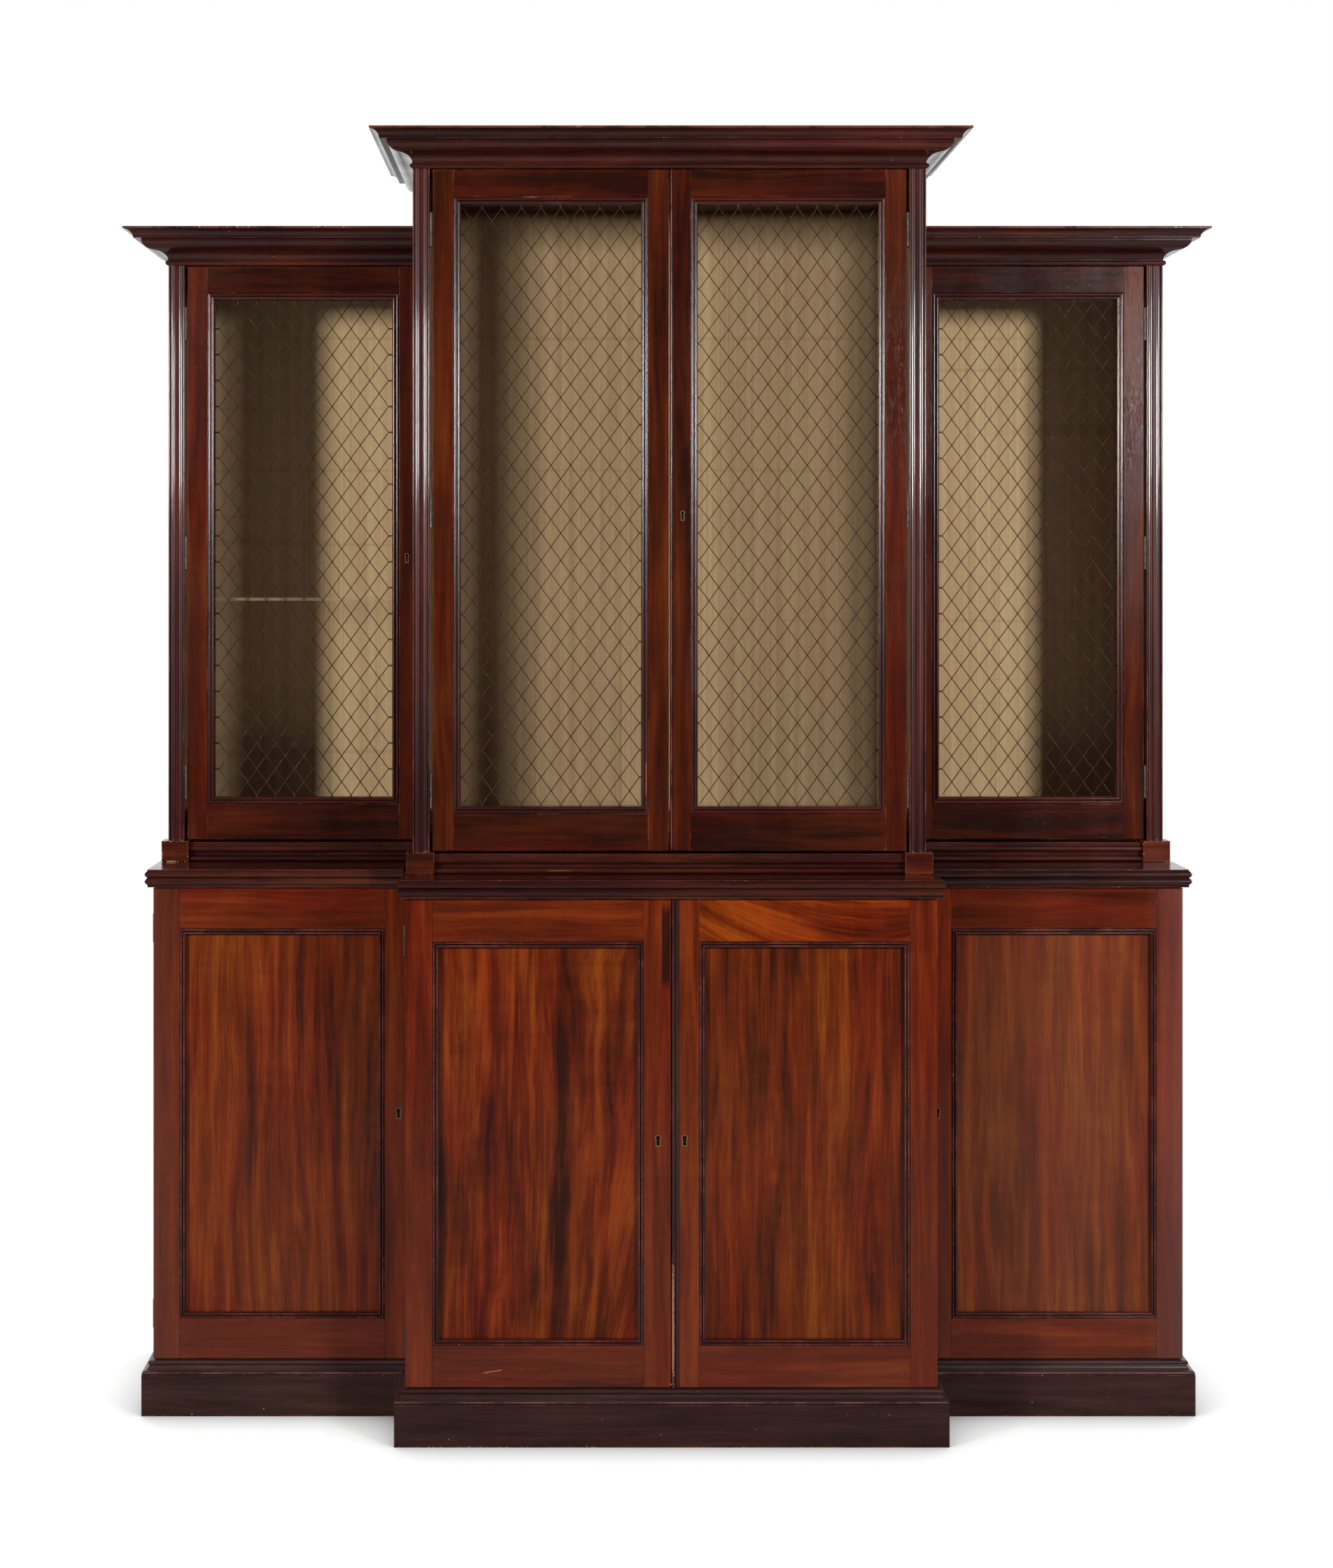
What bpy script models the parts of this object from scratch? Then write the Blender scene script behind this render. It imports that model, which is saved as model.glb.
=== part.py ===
"""Breakfront bookcase: a mahogany bookcase in two stages with a forward centre.

The lower stage is three cupboards on one plinth, under moulded waist boards.
The upper stage is three bookcases with wire grilles, set back on the boards.
Metres, +Z up, +Y towards the wall. The origin is on the floor under the middle of the whole.
Left and right are as seen from the front.
"""

import math
from dataclasses import dataclass

import bmesh
import bpy

# Gap left between two pieces that touch
SEAT = 0.0003
# How far a cutter runs past the face it opens
OVERRUN = 0.004

# Lower stage
LOWER_CENTRE_WIDTH = 0.958
LOWER_WING_WIDTH = 0.482
LOWER_DEPTH = 0.520
LOWER_STEP = 0.156
BASE_CASE_HEIGHT = 0.883

# Plinth
PLINTH_HEIGHT = 0.099
PLINTH_PROJECTION = 0.019
PLINTH_MOULDING_HEIGHT = 0.022
PLINTH_MOULDING_INNER = 0.003
PLINTH_BEAD = 0.007
PLINTH_RAIL = 0.020

# Waist boards
WAIST_THICKNESS = 0.033
WAIST_OVERHANG = 0.014
WAIST_FILLET = 0.0045
WAIST_REED_RISE = 0.0045

# Upper stage
UPPER_INSET = 0.007
UPPER_SETBACK = 0.0865
UPPER_STEP = 0.189
FOOT_HEIGHT = 0.0405
CENTRE_DOOR_ZONE = 1.2555
WING_DOOR_ZONE = 1.1025
FLOOR_RISE = 0.034
CEILING_DROP = 0.0145
CASE_TOP_DROP = 0.006

# Cornices
CORNICE_HEIGHT = 0.065
CORNICE_PROJECTION = 0.074
CORNICE_FILLET = 0.004

# Foot moulding between the plinth blocks
FOOT_MOULDING_HEIGHT = 0.036
FOOT_MOULDING_SINK = 0.002
FOOT_TORUS_RISE = 0.007
FOOT_BEAD_RISE = 0.005
FOOT_FILLET_RISE = 0.0025

# Pilasters and their plinth blocks
PILASTER_WIDTH = 0.031
PILASTER_FILLET = 0.003
PILASTER_GROOVE = 0.004
PILASTER_REED_RISE = 0.003
BLOCK_PROJECTION = 0.0115
BLOCK_OVERLAP = 0.004

# Carcass boards
SIDE_THICKNESS = 0.018
BOARD_THICKNESS = 0.018
BACK_THICKNESS = 0.009
LOWER_SHELF_SETBACK = 0.030
LOWER_SHELF_SHARE = 0.52

# Loose glass shelf of the left upper bookcase, housed in its sides
LOOSE_SHELF_THICKNESS = 0.006
LOOSE_SHELF_TOP = 0.5055
LOOSE_SHELF_HOUSING = 0.006
LOOSE_SHELF_SETBACK = 0.0215

# Doors
DOOR_THICKNESS = 0.022
DOOR_END_CLEARANCE = 0.002
DOOR_SIDE_CLEARANCE = 0.0015
MEETING_CLEARANCE = 0.001
DOOR_BACK_CLEARANCE = 0.0015
GROOVE_DEPTH = 0.008
MOULDING_SINK = 0.0005
MOULDING_RISE = 0.002
ASTRAGAL_WIDTH = 0.005
ASTRAGAL_RISE = 0.0025
MEETING_STRIP_WIDTH = 0.0135
MEETING_STRIP_RISE = 0.002
MEETING_BASE = 0.0005
UPPER_STILE = 0.038
UPPER_TOP_RAIL = 0.050
UPPER_BOTTOM_RAIL = 0.068
UPPER_DOOR_MOULDING = 0.013
LOWER_STILE = 0.049
LOWER_TOP_RAIL = 0.076
LOWER_BOTTOM_RAIL = 0.075
LOWER_DOOR_MOULDING = 0.011

# Infills: a wire grille in each upper door, a veneered panel in each lower door
PANEL_THICKNESS = 0.006
GRILLE_THICKNESS = 0.002
GRILLE_ROD = 0.002
WIRE_WIDTH = 0.0018
CELL_WIDTH = 0.070
CELL_HEIGHT = 0.098
SMALLEST_CELL_SHARE = 0.03

# Hinges
HINGE_LEAF_THICKNESS = 0.001
HINGE_LEAF_WIDTH = 0.018
UPPER_BARREL_RADIUS = 0.0026
UPPER_BARREL_CLEARANCE = 0.0005
UPPER_AXIS_DEPTH = 0.0015
UPPER_HINGE_LENGTH = 0.063
UPPER_HINGE_INSET = 0.110
LOWER_BARREL_RADIUS = 0.0023
LOWER_HINGE_LENGTH = 0.054
LOWER_HINGE_INSET = 0.078

# Locks
BOLT_LENGTH = 0.026
BOLT_HEIGHT = 0.020
BOLT_THICKNESS = 0.006
BOLT_RECESS = 0.0005
BOLT_THROW = 0.008
STRIKE_CLEARANCE = 0.001
KEYHOLE_BACKSET = 0.023
KEYHOLE_RADIUS = 0.0032
KEYHOLE_SLOT = 0.0034
KEYHOLE_HEIGHT = 0.015
KEYHOLE_DEPTH = 0.003
UPPER_LOCK_DROP = 0.010
WING_LOCK_RISE = 0.019
CENTRE_LOCK_RISE = 0.005

# Facets of round stretches, and the angle in degrees above which an edge stays sharp
ARC_STEPS = 4
REED_STEPS = 4
BARREL_STEPS = 10
SHARP_ANGLE = 50

# Planes and heights worked out from the sizes above
HALF_CENTRE = LOWER_CENTRE_WIDTH / 2
HALF_TOTAL = HALF_CENTRE + LOWER_WING_WIDTH
HALF_UPPER_CENTRE = HALF_CENTRE - UPPER_INSET
HALF_UPPER_TOTAL = HALF_TOTAL - UPPER_INSET
TOTAL_DEPTH = LOWER_DEPTH + max(PLINTH_PROJECTION, WAIST_OVERHANG)
BACK = TOTAL_DEPTH / 2
LOWER_CENTRE_FACE = BACK - LOWER_DEPTH
LOWER_WING_FACE = LOWER_CENTRE_FACE + LOWER_STEP
UPPER_CENTRE_FACE = LOWER_CENTRE_FACE + UPPER_SETBACK
UPPER_WING_FACE = UPPER_CENTRE_FACE + UPPER_STEP
WAIST_BOTTOM = PLINTH_HEIGHT + BASE_CASE_HEIGHT
WAIST_TOP = WAIST_BOTTOM + WAIST_THICKNESS
FOOT_TOP = WAIST_TOP + FOOT_HEIGHT
CENTRE_CORNICE_BOTTOM = FOOT_TOP + CENTRE_DOOR_ZONE
WING_CORNICE_BOTTOM = FOOT_TOP + WING_DOOR_ZONE
LOWER_HINGE_GAP = HINGE_LEAF_THICKNESS + 2 * SEAT
HINGE_CHANNEL = 2 * UPPER_BARREL_RADIUS + UPPER_BARREL_CLEARANCE + SEAT
INFILL_REACH = GROOVE_DEPTH - SEAT


class Finish:
    """Builds each material once and hands it out by name."""

    recipes = {
        "mahogany": ((0.130, 0.022, 0.009), 0.38, 0.0),
        "dark_mahogany": ((0.042, 0.011, 0.009), 0.36, 0.0),
        "carcass_wood": ((0.105, 0.042, 0.020), 0.55, 0.0),
        "figured_veneer": ((0.230, 0.060, 0.014), 0.32, 0.0),
        "bronzed_wire": ((0.085, 0.060, 0.040), 0.45, 0.85),
        "brass": ((0.480, 0.330, 0.130), 0.38, 1.0),
        "shelf_glass": ((0.420, 0.480, 0.400), 0.08, 0.0),
    }

    @classmethod
    def get(cls, name):
        """The material of that name, made on first use."""
        found = bpy.data.materials.get(name)
        if found:
            return found
        colour, roughness, metallic = cls.recipes[name]
        material = bpy.data.materials.new(name)
        material.use_nodes = True
        shader = material.node_tree.nodes["Principled BSDF"]
        shader.inputs["Base Color"].default_value = (*colour, 1.0)
        shader.inputs["Roughness"].default_value = roughness
        shader.inputs["Metallic"].default_value = metallic
        return material


def clear_scene():
    """Removes every object that the file opened with."""
    for obj in list(bpy.data.objects):
        bpy.data.objects.remove(obj, do_unlink=True)


def mesh_object(name, bm, location, finish=None, parent=None):
    """Turns a bmesh into a scene object, with its faces pointing out."""
    bmesh.ops.recalc_face_normals(bm, faces=bm.faces)
    mesh = bpy.data.meshes.new(name)
    bm.to_mesh(mesh)
    bm.free()
    mesh.shade_smooth()
    mesh.set_sharp_from_angle(angle=math.radians(SHARP_ANGLE))
    obj = bpy.data.objects.new(name, mesh)
    bpy.context.scene.collection.objects.link(obj)
    obj.parent = parent
    obj.location = location
    if finish:
        mesh.materials.append(Finish.get(finish))
    return obj


def box_mesh(low, high):
    """A bmesh box between two corners."""
    bm = bmesh.new()
    corners = [
        bm.verts.new((x, y, z))
        for x in (low[0], high[0])
        for y in (low[1], high[1])
        for z in (low[2], high[2])
    ]
    for ring in ((0, 1, 3, 2), (4, 6, 7, 5), (0, 4, 5, 1), (2, 3, 7, 6), (0, 2, 6, 4), (1, 5, 7, 3)):
        bm.faces.new([corners[i] for i in ring])
    return bm


def add_prism(bm, outline, low, high, place):
    """Adds an outline carried from one height to another; place maps (a, b, height) to a point."""
    rings = [[bm.verts.new(place(a, b, height)) for a, b in outline] for height in (low, high)]
    count = len(outline)
    for i in range(count):
        j = (i + 1) % count
        bm.faces.new((rings[0][i], rings[0][j], rings[1][j], rings[1][i]))
    bm.faces.new(rings[0])
    bm.faces.new(rings[1])


def prism_mesh(outline, low, high, place=lambda a, b, height: (a, b, height)):
    """A bmesh prism of one outline."""
    bm = bmesh.new()
    add_prism(bm, outline, low, high, place)
    return bm


def edge_normals(corners, closed):
    """Outward normals of the edges of a right-angled plan that runs anticlockwise."""
    pairs = list(zip(corners, corners[1:] + corners[:1]))
    if not closed:
        pairs.pop()
    normals = []
    for (x0, y0), (x1, y1) in pairs:
        length = math.hypot(x1 - x0, y1 - y0)
        normals.append(((y1 - y0) / length, (x0 - x1) / length))
    return normals


def corner_rings(corners, closed, offsets):
    """Mitred copies of a plan: offsets[edge][k] is how far edge moves out for copy k."""
    normals = edge_normals(corners, closed)
    rings = []
    for i, (x, y) in enumerate(corners):
        sides = {i - 1, i} if closed or 0 < i < len(corners) - 1 else {min(i, len(normals) - 1)}
        ring = []
        for k in range(len(offsets[0])):
            shift_x = sum(normals[e][0] * offsets[e][k] for e in sides)
            shift_y = sum(normals[e][1] * offsets[e][k] for e in sides)
            ring.append((x + shift_x, y + shift_y))
        rings.append(ring)
    return rings


def swept_mesh(corners, closed, sections, place=lambda a, b, height: (a, b, height)):
    """A moulding run along a plan with mitred corners.

    sections holds one closed outline for each edge, as (out, height) points. The outlines
    agree in their number of points and in their heights.
    """
    bm = bmesh.new()
    offsets = [[out for out, _ in section] for section in sections]
    heights = [height for _, height in sections[0]]
    rings = [
        [bm.verts.new(place(x, y, height)) for (x, y), height in zip(ring, heights)]
        for ring in corner_rings(corners, closed, offsets)
    ]
    spans = list(zip(rings, rings[1:] + rings[:1]))
    if not closed:
        spans.pop()
        bm.faces.new(rings[0])
        bm.faces.new(rings[-1])
    count = len(heights)
    for first, second in spans:
        for k in range(count):
            n = (k + 1) % count
            bm.faces.new((first[k], second[k], second[n], first[n]))
    return bm


def slab_mesh(corners, exposed, profile):
    """A solid slab whose exposed edges follow a profile of (out, height) points, bottom first."""
    bm = bmesh.new()
    offsets = [[out if shown else 0 for out, _ in profile] for shown in exposed]
    plan = corner_rings(corners, True, offsets)
    levels = [
        [bm.verts.new((*plan[i][k], height)) for i in range(len(corners))]
        for k, (_, height) in enumerate(profile)
    ]
    count = len(corners)
    for lower, upper in zip(levels, levels[1:]):
        for i in range(count):
            j = (i + 1) % count
            bm.faces.new((lower[i], lower[j], upper[j], upper[i]))
    bm.faces.new(levels[0])
    bm.faces.new(levels[-1])
    return bm


def helper(name, bm, target):
    """A shape that only cuts or joins, kept out of renders and carried by its target."""
    obj = mesh_object(name, bm, (0, 0, 0), parent=target)
    obj.display_type = "WIRE"
    obj.hide_render = True
    return obj


def combine(target, name, bm, operation):
    """Adds an exact Boolean of the target with a new helper shape."""
    modifier = target.modifiers.new(name, "BOOLEAN")
    modifier.operation = operation
    modifier.object = helper(f"{target.name}_{name}", bm, target)
    modifier.solver = "EXACT"


def arc(centre, radii, start, end, steps=ARC_STEPS):
    """Points of an elliptical arc, with its angles in degrees."""
    points = []
    for k in range(steps + 1):
        angle = math.radians(start + (end - start) * k / steps)
        points.append((centre[0] + radii[0] * math.cos(angle), centre[1] + radii[1] * math.sin(angle)))
    return points


def reeds(start, end, count, rise):
    """(position, height) points of a row of equal reeds from start to end."""
    points = []
    steps = count * REED_STEPS
    for k in range(steps + 1):
        height = rise * abs(math.sin(math.pi * k / REED_STEPS))
        points.append((start + (end - start) * k / steps, height))
    return points


@dataclass(frozen=True)
class Bay:
    """One of the three sections of a stage, seen in plan."""

    name: str
    left: float
    right: float
    face: float
    left_free: bool
    right_free: bool

    @property
    def middle(self):
        return (self.left + self.right) / 2

    @property
    def half(self):
        return (self.right - self.left) / 2


LOWER_BAYS = (
    Bay("left", -HALF_TOTAL, -HALF_CENTRE - SEAT, LOWER_WING_FACE, True, False),
    Bay("centre", -HALF_CENTRE, HALF_CENTRE, LOWER_CENTRE_FACE, True, True),
    Bay("right", HALF_CENTRE + SEAT, HALF_TOTAL, LOWER_WING_FACE, False, True),
)

UPPER_BAYS = (
    Bay("left", -HALF_UPPER_TOTAL, -HALF_UPPER_CENTRE - SEAT, UPPER_WING_FACE, True, False),
    Bay("centre", -HALF_UPPER_CENTRE, HALF_UPPER_CENTRE, UPPER_CENTRE_FACE, True, True),
    Bay("right", HALF_UPPER_CENTRE + SEAT, HALF_UPPER_TOTAL, UPPER_WING_FACE, False, True),
)


def cornice_bottom(bay):
    """Height of the underside of a bay's cornice."""
    return CENTRE_CORNICE_BOTTOM if bay.name == "centre" else WING_CORNICE_BOTTOM


def plinth_profile():
    """(out, height) points of the plinth's face and its moulding, bottom first."""
    foot = PLINTH_HEIGHT - PLINTH_MOULDING_HEIGHT
    bead = PLINTH_BEAD / 2
    waist = PLINTH_MOULDING_INNER + bead
    bead_centre = (PLINTH_MOULDING_INNER + bead / 2, PLINTH_HEIGHT - bead)
    bead_foot = PLINTH_HEIGHT - PLINTH_BEAD
    ovolo = (PLINTH_PROJECTION - waist, bead_foot - foot)
    return (
        [(PLINTH_PROJECTION, 0), (PLINTH_PROJECTION, foot)]
        + arc((waist, foot), ovolo, 15, 90)
        + arc(bead_centre, (bead, bead), -70, 90)
    )


def make_plinth():
    """One breakfront plinth: a hollow frame with bearers under the carcass sides."""
    plan = [
        (-HALF_TOTAL, BACK),
        (-HALF_TOTAL, LOWER_WING_FACE),
        (-HALF_CENTRE, LOWER_WING_FACE),
        (-HALF_CENTRE, LOWER_CENTRE_FACE),
        (HALF_CENTRE, LOWER_CENTRE_FACE),
        (HALF_CENTRE, LOWER_WING_FACE),
        (HALF_TOTAL, LOWER_WING_FACE),
        (HALF_TOTAL, BACK),
    ]
    exposed = [True] * (len(plan) - 1) + [False]
    plinth = mesh_object("plinth", slab_mesh(plan, exposed, plinth_profile()), (0, 0, 0), "dark_mahogany")
    hollows = {
        "hollow_left": (-HALF_TOTAL, -HALF_CENTRE, LOWER_WING_FACE),
        "hollow_centre": (-HALF_CENTRE, HALF_CENTRE, LOWER_CENTRE_FACE),
        "hollow_right": (HALF_CENTRE, HALF_TOTAL, LOWER_WING_FACE),
    }
    for name, (left, right, face) in hollows.items():
        low = (left + PLINTH_RAIL, face + PLINTH_RAIL, -OVERRUN)
        high = (right - PLINTH_RAIL, BACK - PLINTH_RAIL, PLINTH_HEIGHT + OVERRUN)
        combine(plinth, name, box_mesh(low, high), "DIFFERENCE")


def case_origin(bay, floor):
    """Where a carcass has its origin: at its foot, on the plane of the door fronts."""
    return (bay.middle, bay.face, floor)


def case_front():
    """How far a carcass's front edges stand behind the plane of the door fronts below."""
    return DOOR_THICKNESS + LOWER_HINGE_GAP


def upper_front():
    """The same, in the upper stage."""
    return DOOR_THICKNESS + DOOR_BACK_CLEARANCE


def strike_mesh(side, depth, height):
    """The mortise that takes a wing door's bolt, in a side of the centre carcass.

    side is the carcass side's local place, with the sign of the side it faces.
    """
    reach = BOLT_THROW + STRIKE_CLEARANCE
    across = sorted((side + math.copysign(OVERRUN, side), side - math.copysign(reach, side)))
    half_thickness = BOLT_THICKNESS / 2 + SEAT
    half_height = BOLT_HEIGHT / 2 + SEAT
    low = (across[0], depth - half_thickness, height - half_height)
    high = (across[1], depth + half_thickness, height + half_height)
    return box_mesh(low, high)


def lower_door_span():
    """Heights of the bottom and top of the lower doors."""
    return PLINTH_HEIGHT + DOOR_END_CLEARANCE, WAIST_BOTTOM - DOOR_END_CLEARANCE


def upper_door_span(bay):
    """Heights of the bottom and top of a bay's upper doors."""
    return FOOT_TOP + DOOR_END_CLEARANCE, cornice_bottom(bay) - DOOR_END_CLEARANCE


def make_base_case(bay):
    """A cupboard carcass, open in front, with one fixed shelf."""
    floor = PLINTH_HEIGHT + SEAT
    height = BASE_CASE_HEIGHT - 2 * SEAT
    front = case_front()
    back = BACK - bay.face
    case = mesh_object(
        f"base_case_{bay.name}",
        box_mesh((-bay.half, front, 0), (bay.half, back, height)),
        case_origin(bay, floor),
        "carcass_wood",
    )
    inner = bay.half - SIDE_THICKNESS
    inner_top = height - BOARD_THICKNESS
    inner_back = back - BACK_THICKNESS
    shelf_top = BOARD_THICKNESS + (inner_top - BOARD_THICKNESS) * LOWER_SHELF_SHARE
    shelf_front = front + LOWER_SHELF_SETBACK
    shelf_bottom = shelf_top - BOARD_THICKNESS
    spaces = {
        "space_below": ((-inner, front - OVERRUN, BOARD_THICKNESS), (inner, inner_back, shelf_bottom)),
        "space_above": ((-inner, front - OVERRUN, shelf_top), (inner, inner_back, inner_top)),
        "shelf_front": ((-inner, front - OVERRUN, BOARD_THICKNESS), (inner, shelf_front, inner_top)),
    }
    for name, (low, high) in spaces.items():
        combine(case, name, box_mesh(low, high), "DIFFERENCE")
    if bay.name == "centre":
        depth = LOWER_WING_FACE + DOOR_THICKNESS / 2 - bay.face
        lock = sum(lower_door_span()) / 2 + WING_LOCK_RISE - floor
        for name, side in (("strike_left", -bay.half), ("strike_right", bay.half)):
            combine(case, name, strike_mesh(side, depth, lock), "DIFFERENCE")


def waist_profile():
    """(out, height) points of a waist board's double-reeded edge, bottom first."""
    root = WAIST_OVERHANG - WAIST_REED_RISE
    run = reeds(WAIST_FILLET, WAIST_THICKNESS - WAIST_FILLET / 2, 2, WAIST_REED_RISE)
    return (
        [(root, 0)]
        + [(root + rise, height) for height, rise in run]
        + [(root, WAIST_THICKNESS)]
    )


def make_waist_board(bay):
    """A waist board that laps over its carcass where an edge shows."""
    left, right = -bay.half, bay.half
    shift = WAIST_OVERHANG
    if not bay.left_free:
        left += shift
    if not bay.right_free:
        right -= shift
    back = BACK - bay.face
    plan = [(left, back), (left, 0), (right, 0), (right, back)]
    exposed = [bay.left_free, True, bay.right_free, False]
    bm = slab_mesh(plan, exposed, waist_profile())
    mesh_object(f"waist_board_{bay.name}", bm, case_origin(bay, WAIST_BOTTOM), "mahogany")


def foot_section(front):
    """Closed (out, height) outline of the foot moulding: a torus, a hollow, a bead and a fillet."""
    torus_share, hollow_share, bead_share = 0.28, 0.22, 0.32
    root = -FOOT_MOULDING_SINK
    high = FOOT_MOULDING_HEIGHT
    torus = torus_share * high / 2
    bead = bead_share * high / 2
    bead_middle = (torus_share + hollow_share) * high + bead
    return (
        [(-front - OVERRUN, 0)]
        + arc((root, torus), (FOOT_TORUS_RISE, torus), -90, 90)
        + arc((root, bead_middle), (FOOT_BEAD_RISE, bead), -90, 90)
        + [(root + FOOT_FILLET_RISE, bead_middle + bead), (root + FOOT_FILLET_RISE, high)]
        + [(-front - OVERRUN, high)]
    )


def make_upper_case(bay):
    """A bookcase carcass, open in front, hollow under its floor and over its ceiling."""
    floor = WAIST_TOP + SEAT
    front = upper_front()
    back = BACK - bay.face
    top = cornice_bottom(bay) + CORNICE_HEIGHT - CASE_TOP_DROP - floor
    case = mesh_object(
        f"upper_case_{bay.name}",
        box_mesh((-bay.half, front, 0), (bay.half, back, top)),
        case_origin(bay, floor),
        "carcass_wood",
    )
    inner = bay.half - SIDE_THICKNESS
    inner_back = back - BACK_THICKNESS
    shelf_floor = FOOT_TOP + FLOOR_RISE - floor
    ceiling = cornice_bottom(bay) - CEILING_DROP - floor
    inner_front = front + SIDE_THICKNESS
    floor_underside = shelf_floor - BOARD_THICKNESS
    ceiling_top = ceiling + BOARD_THICKNESS
    spaces = {
        "shelf_space": ((-inner, front - OVERRUN, shelf_floor), (inner, inner_back, ceiling)),
        "under_floor": ((-inner, inner_front, -OVERRUN), (inner, inner_back, floor_underside)),
        "over_ceiling": ((-inner, inner_front, ceiling_top), (inner, inner_back, top + OVERRUN)),
    }
    for name, (low, high) in spaces.items():
        combine(case, name, box_mesh(low, high), "DIFFERENCE")
    block = PILASTER_WIDTH + HINGE_CHANNEL + BLOCK_OVERLAP + SEAT
    left = -bay.half + (block if bay.left_free else 0)
    right = bay.half - (block if bay.right_free else 0)
    foot = swept_mesh([(left, 0), (right, 0)], False, [foot_section(front)])
    combine(case, "foot_moulding", foot, "UNION")
    if bay.name == "centre":
        depth = UPPER_WING_FACE + DOOR_THICKNESS / 2 - bay.face
        lock = (FOOT_TOP + WING_CORNICE_BOTTOM) / 2 - UPPER_LOCK_DROP - floor
        for name, side in (("strike_left", -bay.half), ("strike_right", bay.half)):
            combine(case, name, strike_mesh(side, depth, lock), "DIFFERENCE")
    if bay.name == "left":
        reach = inner + LOOSE_SHELF_HOUSING
        shelf_top = LOOSE_SHELF_TOP - SEAT
        low = (-reach, front - OVERRUN, shelf_top - LOOSE_SHELF_THICKNESS - SEAT)
        high = (reach, inner_back, shelf_top + SEAT)
        combine(case, "shelf_housing", box_mesh(low, high), "DIFFERENCE")
        make_loose_shelf(bay, reach - SEAT, front, inner_back)


def make_loose_shelf(bay, reach, front, inner_back):
    """The glass shelf that slides into housings in the left bookcase's sides."""
    low = (-reach, front + LOOSE_SHELF_SETBACK, -LOOSE_SHELF_THICKNESS)
    high = (reach, inner_back - SEAT, 0)
    place = case_origin(bay, WAIST_TOP + LOOSE_SHELF_TOP)
    mesh_object("shelf_upper_left", box_mesh(low, high), place, "shelf_glass")


def cornice_profile():
    """(out, height) points of a cornice, top first.

    A thin top fillet over a cyma, a soffit step, an ovolo, a deep cove and a bottom bead.
    Each centre and radius is a share of the projection and of the height.
    """
    cyma_share, ovolo_share, cove_share = 0.77, 0.60, 0.33
    step_share, ovolo_foot_share, bead_share = 0.30, 0.58, 0.15
    out = CORNICE_PROJECTION
    high = CORNICE_HEIGHT
    bead = high * bead_share / 2
    cyma_root = high - CORNICE_FILLET
    step = high * (1 - step_share)
    ovolo_foot = high * (1 - ovolo_foot_share)
    cyma = arc((out, step), (out * (1 - cyma_share), cyma_root - step), 90, 180)
    ovolo = arc((out * cove_share, step), (out * (ovolo_share - cove_share), step - ovolo_foot), 0, -90)
    cove = arc((out * cove_share, 2 * bead), (out * cove_share, ovolo_foot - 2 * bead), 95, 180)
    foot = arc((0, bead), (bead, bead), 80, -70)
    return [(out, high)] + cyma + ovolo + cove + foot


def make_cornice(bay):
    """A cornice mitred round the free sides of a bay, over its doors and pilasters."""
    bottom = cornice_bottom(bay)
    profile = cornice_profile()
    back = BACK - bay.face
    front_inner = -upper_front() + SEAT
    side = [(out, height) for out, height in profile] + [(SEAT, 0), (SEAT, CORNICE_HEIGHT)]
    front = [(out, height) for out, height in profile] + [(front_inner, 0), (front_inner, CORNICE_HEIGHT)]
    plan, sections = [(-bay.half, 0), (bay.half, 0)], [front]
    if bay.left_free:
        plan.insert(0, (-bay.half, back))
        sections.insert(0, side)
    if bay.right_free:
        plan.append((bay.half, back))
        sections.append(side)
    bm = swept_mesh(plan, False, sections)
    mesh_object(f"cornice_{bay.name}", bm, case_origin(bay, bottom), "dark_mahogany")


def pilaster_outline(sign):
    """Plan of a reeded shaft: (across, depth), from its outer edge at 0 inwards along sign."""
    groove = PILASTER_GROOVE / 2
    middle = PILASTER_WIDTH / 2
    runs = ((PILASTER_FILLET, middle - groove), (middle + groove, PILASTER_WIDTH - PILASTER_FILLET))
    points = [(0, upper_front() - SEAT), (0, PILASTER_REED_RISE / 2)]
    points.append((PILASTER_FILLET, PILASTER_REED_RISE / 2))
    for start, end in runs:
        reed = reeds(start, end, 1, PILASTER_REED_RISE)
        points += [(across, PILASTER_REED_RISE - rise) for across, rise in reed]
    points.append((PILASTER_WIDTH - PILASTER_FILLET, PILASTER_REED_RISE / 2))
    points += [(PILASTER_WIDTH, PILASTER_REED_RISE / 2), (PILASTER_WIDTH, upper_front() - SEAT)]
    return [(sign * across, depth) for across, depth in points]


def make_pilaster(name, bay, edge, sign):
    """A reeded pilaster on its square block, at a free corner of a bay."""
    origin = (edge, bay.face, WAIST_TOP + SEAT)
    shaft_top = cornice_bottom(bay) - SEAT - origin[2]
    block_top = FOOT_HEIGHT - 2 * SEAT
    bm = prism_mesh(pilaster_outline(sign), block_top - OVERRUN, shaft_top)
    pilaster = mesh_object(name, bm, origin, "mahogany")
    inner = PILASTER_WIDTH + HINGE_CHANNEL + BLOCK_OVERLAP
    across = sorted((-sign * (BLOCK_PROJECTION + SEAT), sign * inner))
    block = box_mesh((across[0], -BLOCK_PROJECTION, 0), (across[1], upper_front() - SEAT, block_top))
    combine(pilaster, "block", block, "UNION")


@dataclass(frozen=True)
class DoorKind:
    """Sizes that the doors of one stage share."""

    stage: str
    stile: float
    top_rail: float
    bottom_rail: float
    moulding: float
    infill_thickness: float
    axis_out: float
    axis_depth: float
    barrel_radius: float
    leaf_offset: float
    hinge_length: float
    hinge_inset: float
    hinge_names: tuple
    finish: str


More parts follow.
